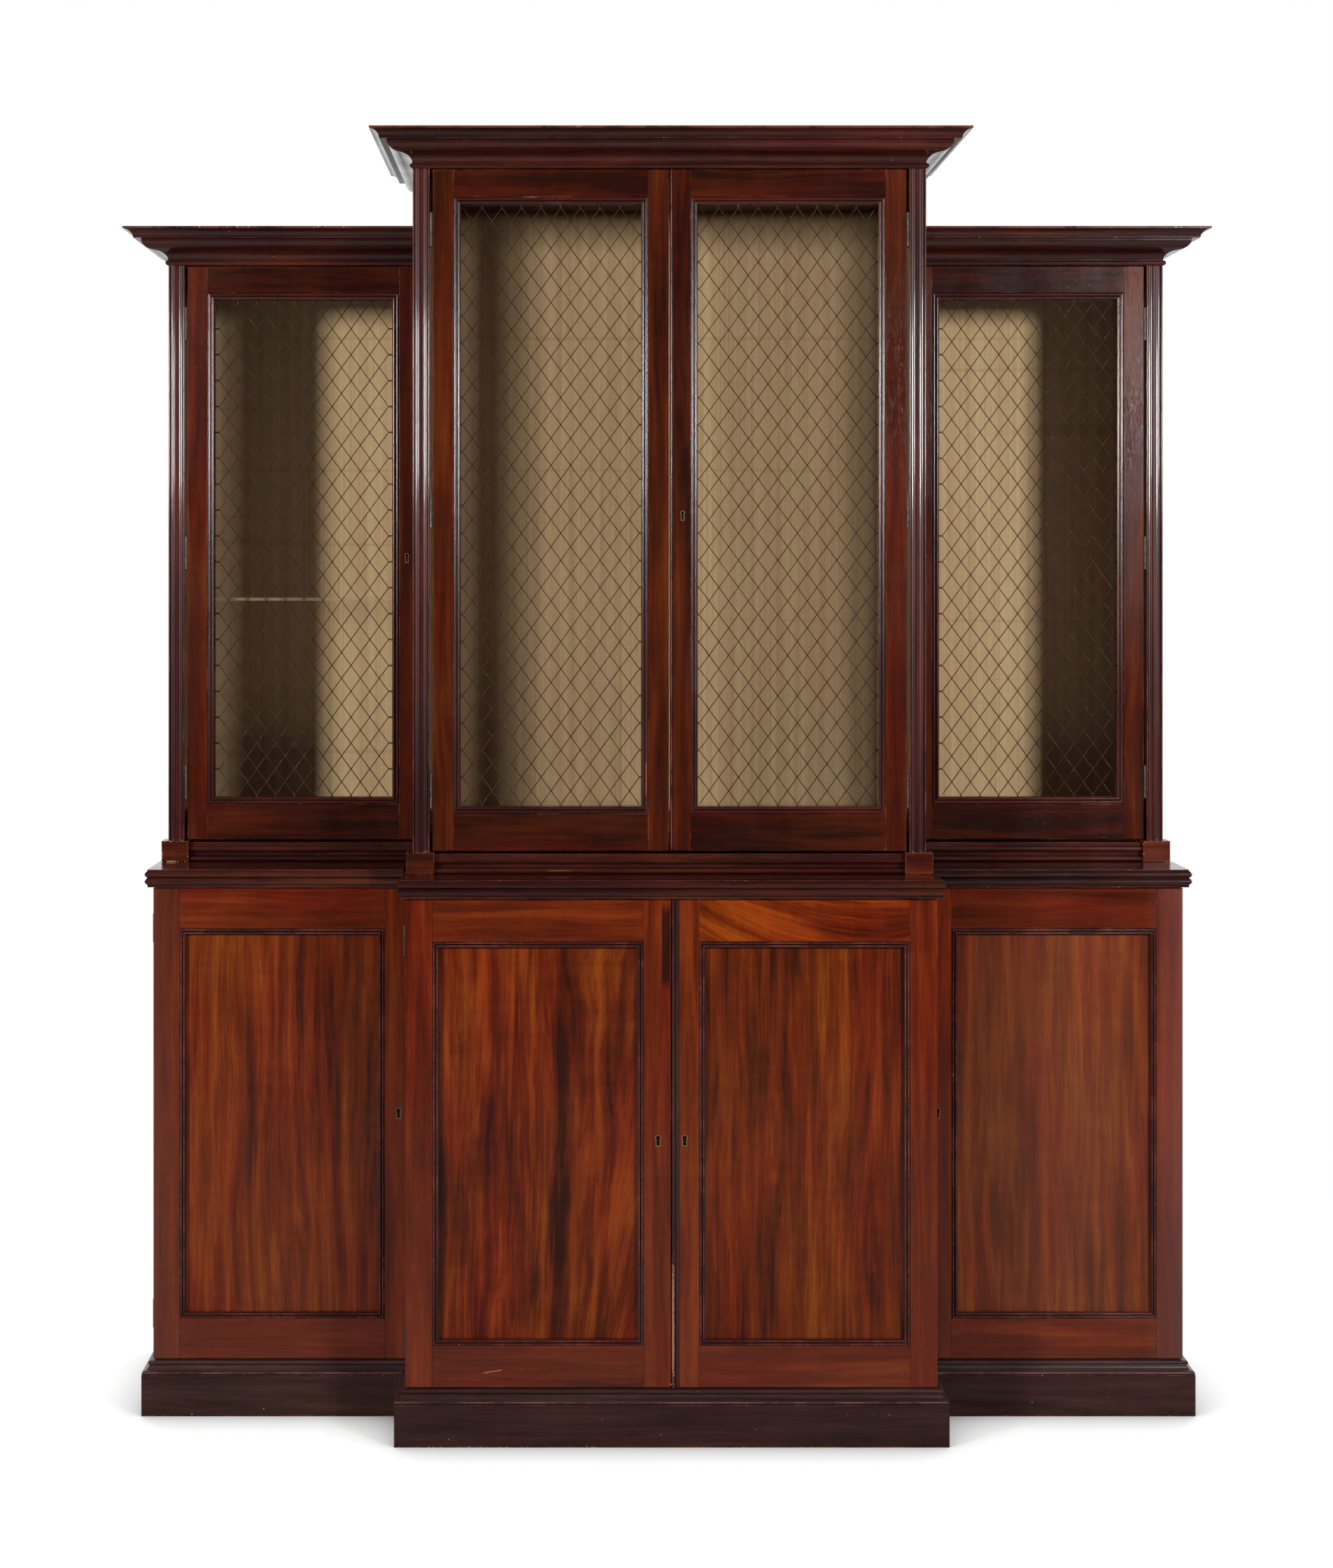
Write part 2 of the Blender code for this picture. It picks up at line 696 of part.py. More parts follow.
UPPER_KIND = DoorKind(
    stage="upper",
    stile=UPPER_STILE,
    top_rail=UPPER_TOP_RAIL,
    bottom_rail=UPPER_BOTTOM_RAIL,
    moulding=UPPER_DOOR_MOULDING,
    infill_thickness=GRILLE_THICKNESS,
    axis_out=UPPER_BARREL_RADIUS + UPPER_BARREL_CLEARANCE,
    axis_depth=UPPER_AXIS_DEPTH,
    barrel_radius=UPPER_BARREL_RADIUS,
    leaf_offset=-UPPER_BARREL_RADIUS + HINGE_LEAF_THICKNESS / 2,
    hinge_length=UPPER_HINGE_LENGTH,
    hinge_inset=UPPER_HINGE_INSET,
    hinge_names=("bottom", "middle", "top"),
    finish="dark_mahogany",
)

LOWER_KIND = DoorKind(
    stage="lower",
    stile=LOWER_STILE,
    top_rail=LOWER_TOP_RAIL,
    bottom_rail=LOWER_BOTTOM_RAIL,
    moulding=LOWER_DOOR_MOULDING,
    infill_thickness=PANEL_THICKNESS,
    axis_out=LOWER_BARREL_RADIUS + SEAT,
    axis_depth=DOOR_THICKNESS + LOWER_HINGE_GAP / 2,
    barrel_radius=LOWER_BARREL_RADIUS,
    leaf_offset=0,
    hinge_length=LOWER_HINGE_LENGTH,
    hinge_inset=LOWER_HINGE_INSET,
    hinge_names=("bottom", "top"),
    finish="mahogany",
)


@dataclass(frozen=True)
class MeetingBead:
    """Reeds down the free edge of the leaf that shuts last."""

    width: float
    rise: float
    count: int


@dataclass(frozen=True)
class Door:
    """One hung door: its edges, its heights and what its free stile carries."""

    name: str
    kind: DoorKind
    hinge_edge: float
    free_edge: float
    face: float
    bottom: float
    top: float
    lock: float
    keyhole: bool = True
    bolt: bool = True
    strike: bool = False
    bead: MeetingBead = None

    @property
    def hand(self):
        """1 where the door hangs on its left edge, -1 where it hangs on its right."""
        return 1 if self.free_edge > self.hinge_edge else -1

    @property
    def width(self):
        return abs(self.free_edge - self.hinge_edge)

    @property
    def height(self):
        return self.top - self.bottom

    @property
    def axis(self):
        """Foot of the hinge axis."""
        across = self.hinge_edge - self.hand * self.kind.axis_out
        return (across, self.face + self.kind.axis_depth, self.bottom)

    @property
    def opening(self):
        """(left, right, bottom, top) of the frame's opening, from the hinge edge and the foot."""
        kind = self.kind
        side = kind.stile + kind.moulding
        return (
            side,
            self.width - side,
            kind.bottom_rail + kind.moulding,
            self.height - kind.top_rail - kind.moulding,
        )

    def place(self, across, height, depth):
        """Door coordinates (from the hinge edge, the foot and the front face) to the axis's frame."""
        return (self.hand * (across + self.kind.axis_out), depth - self.kind.axis_depth, height)

    def box(self, low, high):
        """A bmesh box given by (across, height, depth) corners."""
        pairs = list(zip(self.place(*low), self.place(*high)))
        return box_mesh([min(pair) for pair in pairs], [max(pair) for pair in pairs])


def groove_depths(kind):
    """Depths of the front and back of the groove that holds a door's infill."""
    half = kind.infill_thickness / 2 + SEAT
    return DOOR_THICKNESS / 2 - half, DOOR_THICKNESS / 2 + half


def frame_section(kind, member):
    """Closed (out, depth) outline of a stile or rail of that width, from the opening outwards."""
    outer = member + kind.moulding
    groove_front, groove_back = groove_depths(kind)
    run = reeds(kind.moulding, 0, 2, MOULDING_RISE)
    return (
        [(outer, 0), (kind.moulding, 0)]
        + [(out, MOULDING_SINK - rise) for out, rise in run]
        + [
            (0, groove_front),
            (GROOVE_DEPTH, groove_front),
            (GROOVE_DEPTH, groove_back),
            (0, groove_back),
            (0, DOOR_THICKNESS),
            (outer, DOOR_THICKNESS),
        ]
    )


def keyhole_outline(across, height):
    """Outline of a keyhole: a round head over a straight slot."""
    slot = KEYHOLE_SLOT / 2
    head = height + KEYHOLE_HEIGHT / 2 - KEYHOLE_RADIUS
    meet = math.degrees(math.asin(slot / KEYHOLE_RADIUS))
    points = arc((across, head), (KEYHOLE_RADIUS, KEYHOLE_RADIUS), meet - 90, 270 - meet, BARREL_STEPS)
    foot = height - KEYHOLE_HEIGHT / 2
    return points + [(across - slot, foot), (across + slot, foot)]


def make_door_frame(door, axis):
    """Stiles, rails and the reeded moulding round the opening, in one frame."""
    kind = door.kind
    left, right, bottom, top = door.opening
    plan = [(left, bottom), (right, bottom), (right, top), (left, top)]
    members = (kind.bottom_rail, kind.stile, kind.top_rail, kind.stile)
    sections = [frame_section(kind, member) for member in members]
    bm = swept_mesh(plan, True, sections, door.place)
    frame = mesh_object(f"{kind.stage}_door_frame_{door.name}", bm, (0, 0, 0), kind.finish, axis)
    lock = door.lock - door.bottom
    middle = DOOR_THICKNESS / 2
    half_height = BOLT_HEIGHT / 2 + SEAT
    half_thickness = BOLT_THICKNESS / 2 + SEAT
    reaches = {
        "bolt_mortise": (door.bolt, BOLT_LENGTH + BOLT_RECESS + SEAT),
        "strike_mortise": (door.strike, BOLT_THROW + STRIKE_CLEARANCE),
    }
    for name, (present, reach) in reaches.items():
        if present:
            low = (door.width - reach, lock - half_height, middle - half_thickness)
            high = (door.width + OVERRUN, lock + half_height, middle + half_thickness)
            combine(frame, name, door.box(low, high), "DIFFERENCE")
    if door.keyhole:
        outline = keyhole_outline(door.width - KEYHOLE_BACKSET, lock)
        combine(frame, "keyhole", prism_mesh(outline, -OVERRUN, KEYHOLE_DEPTH, door.place), "DIFFERENCE")
    if door.bead:
        start = door.width - door.bead.width
        run = reeds(start, door.width, door.bead.count, door.bead.rise)
        outline = [(start, OVERRUN)]
        outline += [(across, -MEETING_BASE - rise) for across, rise in run]
        outline.append((door.width, OVERRUN))
        bead = prism_mesh(
            outline, 0, door.height, lambda across, depth, height: door.place(across, height, depth)
        )
        combine(frame, "meeting_bead", bead, "UNION")


def make_panel(door, axis):
    """The veneered panel held in a lower door's groove."""
    left, right, bottom, top = door.opening
    half = PANEL_THICKNESS / 2
    low = (left - INFILL_REACH, bottom - INFILL_REACH, DOOR_THICKNESS / 2 - half)
    high = (right + INFILL_REACH, top + INFILL_REACH, DOOR_THICKNESS / 2 + half)
    mesh_object(f"lower_door_panel_{door.name}", door.box(low, high), (0, 0, 0), "figured_veneer", axis)


def clipped(points, low, high):
    """A convex outline cut to the rectangle between two corners."""
    for axis, limit, sign in ((0, low[0], 1), (0, high[0], -1), (1, low[1], 1), (1, high[1], -1)):
        kept = []
        for a, b in zip(points, points[1:] + points[:1]):
            inside_a = sign * (a[axis] - limit) >= 0
            inside_b = sign * (b[axis] - limit) >= 0
            if inside_a:
                kept.append(a)
            if inside_a != inside_b:
                t = (limit - a[axis]) / (b[axis] - a[axis])
                kept.append((a[0] + t * (b[0] - a[0]), a[1] + t * (b[1] - a[1])))
        points = kept
        if not points:
            break
    return points


def outline_area(points):
    """Area of an outline, by the shoelace rule."""
    pairs = zip(points, points[1:] + points[:1])
    return abs(sum(a[0] * b[1] - b[0] * a[1] for a, b in pairs)) / 2


def grille_cells(low, high):
    """Outlines of the diamond gaps between crossed wires, cut to a rectangle.

    Both runs of wire pass through the rectangle's middle. One gap stands for four of the
    real grille, which has twice as many wires in each run.
    """
    half_wide, half_high = CELL_WIDTH / 2, CELL_HEIGHT / 2
    reach = half_wide * half_high / math.hypot(half_wide, half_high)
    shrink = 1 - WIRE_WIDTH / 2 / reach
    middle = ((low[0] + high[0]) / 2, (low[1] + high[1]) / 2)
    columns = math.ceil((high[0] - low[0]) / CELL_WIDTH) + 1
    rows = math.ceil((high[1] - low[1]) / CELL_HEIGHT) + 1
    smallest = CELL_WIDTH * CELL_HEIGHT * SMALLEST_CELL_SHARE
    cells = []
    for column in range(-columns, columns + 1):
        for row in range(-rows, rows + 1):
            if (column + row) % 2 == 0:
                continue
            x = middle[0] + column * half_wide
            z = middle[1] + row * half_high
            diamond = [
                (x - half_wide * shrink, z),
                (x, z - half_high * shrink),
                (x + half_wide * shrink, z),
                (x, z + half_high * shrink),
            ]
            cell = clipped(diamond, low, high)
            if len(cell) > 2 and outline_area(cell) > smallest:
                cells.append(cell)
    return cells


def make_grille(door, axis):
    """The flat wire grille held in an upper door's groove, with a rod along its top and foot."""
    left, right, bottom, top = door.opening
    half = GRILLE_THICKNESS / 2
    middle = DOOR_THICKNESS / 2
    low = (left - INFILL_REACH, bottom - INFILL_REACH, middle - half)
    high = (right + INFILL_REACH, top + INFILL_REACH, middle + half)
    name = f"upper_grille_{door.name}"
    grille = mesh_object(name, door.box(low, high), (0, 0, 0), "bronzed_wire", axis)
    side = GROOVE_DEPTH / 4
    bm = bmesh.new()
    for cell in grille_cells((left - side, bottom + GRILLE_ROD), (right + side, top - GRILLE_ROD)):
        add_prism(bm, cell, middle - half - OVERRUN, middle + half + OVERRUN, door.place)
    combine(grille, "gaps", bm, "DIFFERENCE")


def hinge_outline(kind):
    """(along the leaf, across it) plan of a barrel with its fixed leaf."""
    radius = kind.barrel_radius
    low = kind.leaf_offset - HINGE_LEAF_THICKNESS / 2
    high = kind.leaf_offset + HINGE_LEAF_THICKNESS / 2
    start = math.degrees(math.asin(max(-1, high / radius)))
    end = 360 + math.degrees(math.asin(max(-1, low / radius)))
    points = arc((0, 0), (radius, radius), start, end, BARREL_STEPS)
    return points + [(HINGE_LEAF_WIDTH, low), (HINGE_LEAF_WIDTH, high)]


def make_hinges(door):
    """The butt hinges of a door, spaced from its ends, each a barrel with its fixed leaf."""
    kind = door.kind
    count = len(kind.hinge_names)
    run = door.height - 2 * kind.hinge_inset
    half = kind.hinge_length / 2

    def upper_place(along, across, height):
        return (door.hand * across, along, height)

    def lower_place(along, across, height):
        return (door.hand * along, across, height)

    place = upper_place if kind is UPPER_KIND else lower_place
    for k, level in enumerate(kind.hinge_names):
        height = door.bottom + kind.hinge_inset + run * k / (count - 1)
        bm = prism_mesh(hinge_outline(kind), -half, half, place)
        name = f"{kind.stage}_hinge_{door.name}_{level}"
        mesh_object(name, bm, (door.axis[0], door.axis[1], height), "brass")


def make_bolt(door, axis):
    """The lock's bolt, drawn back just inside the free edge."""
    lock = door.lock - door.bottom
    nose = door.width - BOLT_RECESS
    half = BOLT_THICKNESS / 2
    middle = DOOR_THICKNESS / 2
    low = (nose - BOLT_LENGTH, lock - BOLT_HEIGHT / 2, middle - half)
    high = (nose, lock + BOLT_HEIGHT / 2, middle + half)
    mesh_object(f"lock_bolt_{door.kind.stage}_{door.name}", door.box(low, high), (0, 0, 0), "brass", axis)


def make_door(door):
    """A door with its infill and bolt on one axis, and its hinges on the carcass."""
    axis = bpy.data.objects.new(f"axis_{door.kind.stage}_door_{door.name}", None)
    bpy.context.scene.collection.objects.link(axis)
    axis.location = door.axis
    make_door_frame(door, axis)
    if door.kind is UPPER_KIND:
        make_grille(door, axis)
    else:
        make_panel(door, axis)
    if door.bolt:
        make_bolt(door, axis)
    make_hinges(door)


def lower_doors():
    """The four cupboard doors, which lie over the carcass fronts."""
    bottom, top = lower_door_span()
    middle = (bottom + top) / 2
    span = {"bottom": bottom, "top": top, "kind": LOWER_KIND}
    wing = {"face": LOWER_WING_FACE, "lock": middle + WING_LOCK_RISE} | span
    centre = {"face": LOWER_CENTRE_FACE, "lock": middle + CENTRE_LOCK_RISE} | span
    wing_free = HALF_CENTRE + DOOR_SIDE_CLEARANCE
    meeting = MEETING_CLEARANCE
    strip = MeetingBead(MEETING_STRIP_WIDTH, MEETING_STRIP_RISE, 2)
    return (
        Door("left", hinge_edge=-HALF_TOTAL, free_edge=-wing_free, **wing),
        Door("centre_left", hinge_edge=-HALF_CENTRE, free_edge=-meeting, bolt=False, strike=True, **centre),
        Door("centre_right", hinge_edge=HALF_CENTRE, free_edge=meeting, bead=strip, **centre),
        Door("right", hinge_edge=HALF_TOTAL, free_edge=wing_free, **wing),
    )


def upper_doors():
    """The four grille doors, which hang between the pilasters."""
    doors = []
    inset = PILASTER_WIDTH + HINGE_CHANNEL
    astragal = MeetingBead(ASTRAGAL_WIDTH, ASTRAGAL_RISE, 1)
    for bay, name, sign in (
        (UPPER_BAYS[0], "left", -1),
        (UPPER_BAYS[1], "centre_left", -1),
        (UPPER_BAYS[1], "centre_right", 1),
        (UPPER_BAYS[2], "right", 1),
    ):
        bottom, top = upper_door_span(bay)
        outer, free = HALF_UPPER_TOTAL, HALF_UPPER_CENTRE + DOOR_SIDE_CLEARANCE
        if bay.name == "centre":
            outer, free = HALF_UPPER_CENTRE, MEETING_CLEARANCE
        doors.append(
            Door(
                name,
                UPPER_KIND,
                sign * (outer - inset),
                sign * free,
                bay.face,
                bottom,
                top,
                lock=(bottom + top) / 2 - UPPER_LOCK_DROP,
                keyhole=name != "centre_left",
                bolt=name != "centre_left",
                strike=name == "centre_left",
                bead=astragal if name == "centre_right" else None,
            )
        )
    return doors


def main():
    """Builds the whole bookcase."""
    clear_scene()
    make_plinth()
    for bay in LOWER_BAYS:
        make_base_case(bay)
        make_waist_board(bay)
    for bay in UPPER_BAYS:
        make_upper_case(bay)
        make_cornice(bay)
    make_pilaster("pilaster_left_outer", UPPER_BAYS[0], UPPER_BAYS[0].left, 1)
    make_pilaster("pilaster_left_inner", UPPER_BAYS[1], UPPER_BAYS[1].left, 1)
    make_pilaster("pilaster_right_inner", UPPER_BAYS[1], UPPER_BAYS[1].right, -1)
    make_pilaster("pilaster_right_outer", UPPER_BAYS[2], UPPER_BAYS[2].right, -1)
    for door in (*lower_doors(), *upper_doors()):
        make_door(door)


main()
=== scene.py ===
"""Breakfront bookcase: the looks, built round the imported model.

Two stages of polished mahogany. Each board, moulding and hinge is made as its own closed
solid that carries three values for its finish: where it lies in its own timber (grain), how
near an edge or a hollow it is (edge), and how its board differs from its neighbours (tone).
"""

import logging
import math
import random
from collections.abc import Sequence
from dataclasses import dataclass, field
from enum import Enum
from itertools import product

import bpy
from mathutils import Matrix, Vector
from mathutils.geometry import tessellate_polygon


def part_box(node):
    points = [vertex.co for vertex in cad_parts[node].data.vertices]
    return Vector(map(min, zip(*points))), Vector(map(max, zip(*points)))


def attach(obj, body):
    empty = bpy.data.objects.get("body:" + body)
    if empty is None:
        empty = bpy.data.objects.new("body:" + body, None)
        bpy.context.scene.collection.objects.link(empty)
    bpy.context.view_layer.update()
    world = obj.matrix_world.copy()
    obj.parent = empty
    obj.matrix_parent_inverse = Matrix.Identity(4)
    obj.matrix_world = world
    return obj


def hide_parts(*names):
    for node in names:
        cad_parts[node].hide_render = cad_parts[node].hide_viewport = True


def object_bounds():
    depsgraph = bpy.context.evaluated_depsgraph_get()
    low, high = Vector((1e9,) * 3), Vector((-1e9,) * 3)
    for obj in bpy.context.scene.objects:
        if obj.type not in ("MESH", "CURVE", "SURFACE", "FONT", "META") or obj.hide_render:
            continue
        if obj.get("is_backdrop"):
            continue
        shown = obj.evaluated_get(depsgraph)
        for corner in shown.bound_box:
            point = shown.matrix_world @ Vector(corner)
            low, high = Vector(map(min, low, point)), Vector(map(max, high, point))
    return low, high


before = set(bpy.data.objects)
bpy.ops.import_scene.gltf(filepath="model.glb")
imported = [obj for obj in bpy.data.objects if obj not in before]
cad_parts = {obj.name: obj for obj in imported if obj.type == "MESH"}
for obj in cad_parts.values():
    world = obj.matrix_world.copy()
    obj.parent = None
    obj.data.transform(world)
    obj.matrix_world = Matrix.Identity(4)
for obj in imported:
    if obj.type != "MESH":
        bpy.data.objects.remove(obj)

CAD_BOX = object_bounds()
LOG = logging.getLogger("bookcase")

Pair = tuple[float, float]
Triple = tuple[float, float, float]
Socket = bpy.types.NodeSocket

RIGHT, BACK, UP = UNITS = (Vector((1, 0, 0)), Vector((0, 1, 0)), Vector((0, 0, 1)))
LEFT, FRONT = Vector((-1, 0, 0)), Vector((0, -1, 0))
SIDES = (-1, 1)

# Gap between two pieces that touch, and the least that one finish lies over another
SEAT = 0.0003
SKIN = 0.0001
# How deep the bolts' strikes, the bolts' mortises and the keyholes are
STRIKE_DEPTH = 0.009
BOLT_POCKET_DEPTH = 0.0268
KEYHOLE_DEPTH = 0.0074
# Turn in degrees that counts as a full edge, and how far along an outline it is felt
FULL_EDGE = 70
EDGE_REACH = 0.0012


class Axis(Enum):
    """The way a board's grain runs."""

    X = 0
    Y = 1
    Z = 2


class Flow(Enum):
    """How a figured piece departs from straight grain."""

    FAN = "fan"
    ARCH = "arch"


def srgb(colour: Triple) -> tuple[float, float, float, float]:
    """A colour given as 0 to 255 on screen, as the linear one that a shader takes.

    Args:
        colour: Red, green and blue.

    Returns:
        Red, green, blue and an alpha of one.
    """
    linear = [c / 255 / 12.92 if c <= 10 else ((c / 255 + 0.055) / 1.055) ** 2.4 for c in colour]
    return (*linear, 1.0)


def closed(items: Sequence) -> zip:
    """Each item with the next one, and the last with the first."""
    return zip(items, [*items[1:], items[0]])


def arc(centre: Pair, radii: Pair, start: float, end: float, steps: int = 8) -> list[Pair]:
    """Points of an elliptical arc.

    Args:
        centre: Its middle.
        radii: Its two half widths.
        start: First angle in degrees.
        end: Last angle in degrees.
        steps: How many stretches it has.

    Returns:
        The points, ends included.
    """
    angles = [math.radians(start + (end - start) * k / steps) for k in range(steps + 1)]
    return [(centre[0] + radii[0] * math.cos(a), centre[1] + radii[1] * math.sin(a)) for a in angles]


def reeds(start: float, end: float, count: int, rise: float, steps: int = 10) -> list[Pair]:
    """(position, height) points of a row of equal reeds.

    Args:
        start: Where the row begins.
        end: Where it ends.
        count: How many reeds it has.
        rise: Their height.
        steps: Stretches in each reed.

    Returns:
        The points of the row.
    """
    total = count * steps
    return [
        (start + (end - start) * k / total, rise * abs(math.sin(math.pi * k / steps)))
        for k in range(total + 1)
    ]


# Meshes


@dataclass
class Section:
    """A moulding's closed outline, eased at its corners, with its normals and its worn edges."""

    outline: list[Pair]
    ease: float = 0.0004
    margin: float = 0.0022
    sharp: float = 40.0

    def __post_init__(self) -> None:
        """Works out the points, the edge values and both normals of every stretch."""
        raw = [p for k, p in enumerate(self.outline) if math.dist(p, self.outline[k - 1]) > 1e-6]
        area = sum(a[0] * b[1] - b[0] * a[1] for a, b in closed(raw))
        self.points = self._divided(self._eased(raw if area > 0 else raw[::-1]))
        self.lengths = [math.dist(a, b) for a, b in closed(self.points)]
        self.ways = [
            ((y1 - y0) / length, (x0 - x1) / length)
            for ((x0, y0), (x1, y1)), length in zip(closed(self.points), self.lengths)
        ]
        count = len(self.points)
        self.turns = [self._turn(self.ways[k - 1], self.ways[k]) for k in range(count)]
        self.edges = [self._edge(k) for k in range(count)]
        self.normals = [(self._normal(k, k), self._normal((k + 1) % count, k)) for k in range(count)]

    @staticmethod
    def _turn(first: Pair, second: Pair) -> float:
        """Angle in degrees from one normal to the next, positive where the outline bulges."""
        cross = first[0] * second[1] - first[1] * second[0]
        return math.degrees(math.atan2(cross, first[0] * second[0] + first[1] * second[1]))

    def _edge(self, k: int) -> float:
        """How sharply the outline turns close to point k: 1 on an edge, -1 in a hollow.

        Args:
            k: The point's number.

        Returns:
            The turn nearby, as a share of a full edge.
        """
        count, total = len(self.turns), self.turns[k]
        for step in SIDES:
            gone, at = 0.0, k
            while True:
                gone += self.lengths[at if step > 0 else at - 1]
                at = (at + step) % count
                if gone > EDGE_REACH or at == k:
                    break
                total += self.turns[at]
        return max(-1.0, min(1.0, total / FULL_EDGE))

    def _normal(self, point: int, at: int) -> Pair:
        """Normal at one end of a stretch, shared with its neighbour over a soft corner.

        Args:
            point: Number of the end's point.
            at: Number of the stretch.

        Returns:
            The unit normal.
        """
        if abs(self.turns[point]) > self.sharp:
            return self.ways[at]
        a, b = self.lengths[point - 1], self.lengths[point]
        x, y = (first * a + second * b for first, second in zip(self.ways[point - 1], self.ways[point]))
        size = math.hypot(x, y) or 1.0
        return x / size, y / size

    def _eased(self, raw: list[Pair]) -> list[Pair]:
        """The outline with each sharp outer corner taken off by a small round.

        Args:
            raw: The outline, with its inside on the left.

        Returns:
            The eased outline.
        """
        out: list[Pair] = []
        for k, spot in enumerate(raw):
            here = Vector(spot)
            back, on = Vector(raw[k - 1]) - here, Vector(raw[(k + 1) % len(raw)]) - here
            turn = math.degrees(math.atan2((-back).cross(on), (-back).dot(on)))
            if turn < self.sharp or min(back.length, on.length) < self.ease * 2.2:
                out.append(spot)
                continue
            start, end = here + back.normalized() * self.ease, here + on.normalized() * self.ease
            out += [tuple(start), tuple(((start + end) / 2).lerp(here, 0.42)), tuple(end)]
        return out

    def _divided(self, points: list[Pair]) -> list[Pair]:
        """The outline with a point close to each end of its long stretches.

        Args:
            points: The eased outline.

        Returns:
            The outline with the added points.
        """
        out: list[Pair] = []
        for a, b in closed(points):
            out.append(a)
            length = math.dist(a, b)
            if length > self.margin * 2.5:
                shares = (self.margin / length, 1 - self.margin / length)
                out += [tuple(Vector(a).lerp(b, share)) for share in shares]
        return out


@dataclass(frozen=True)
class Recess:
    """A pocket sunk in one side of a board; its outline is in the two other axes, in order."""

    axis: int
    side: int
    outline: list[Pair]
    depth: float


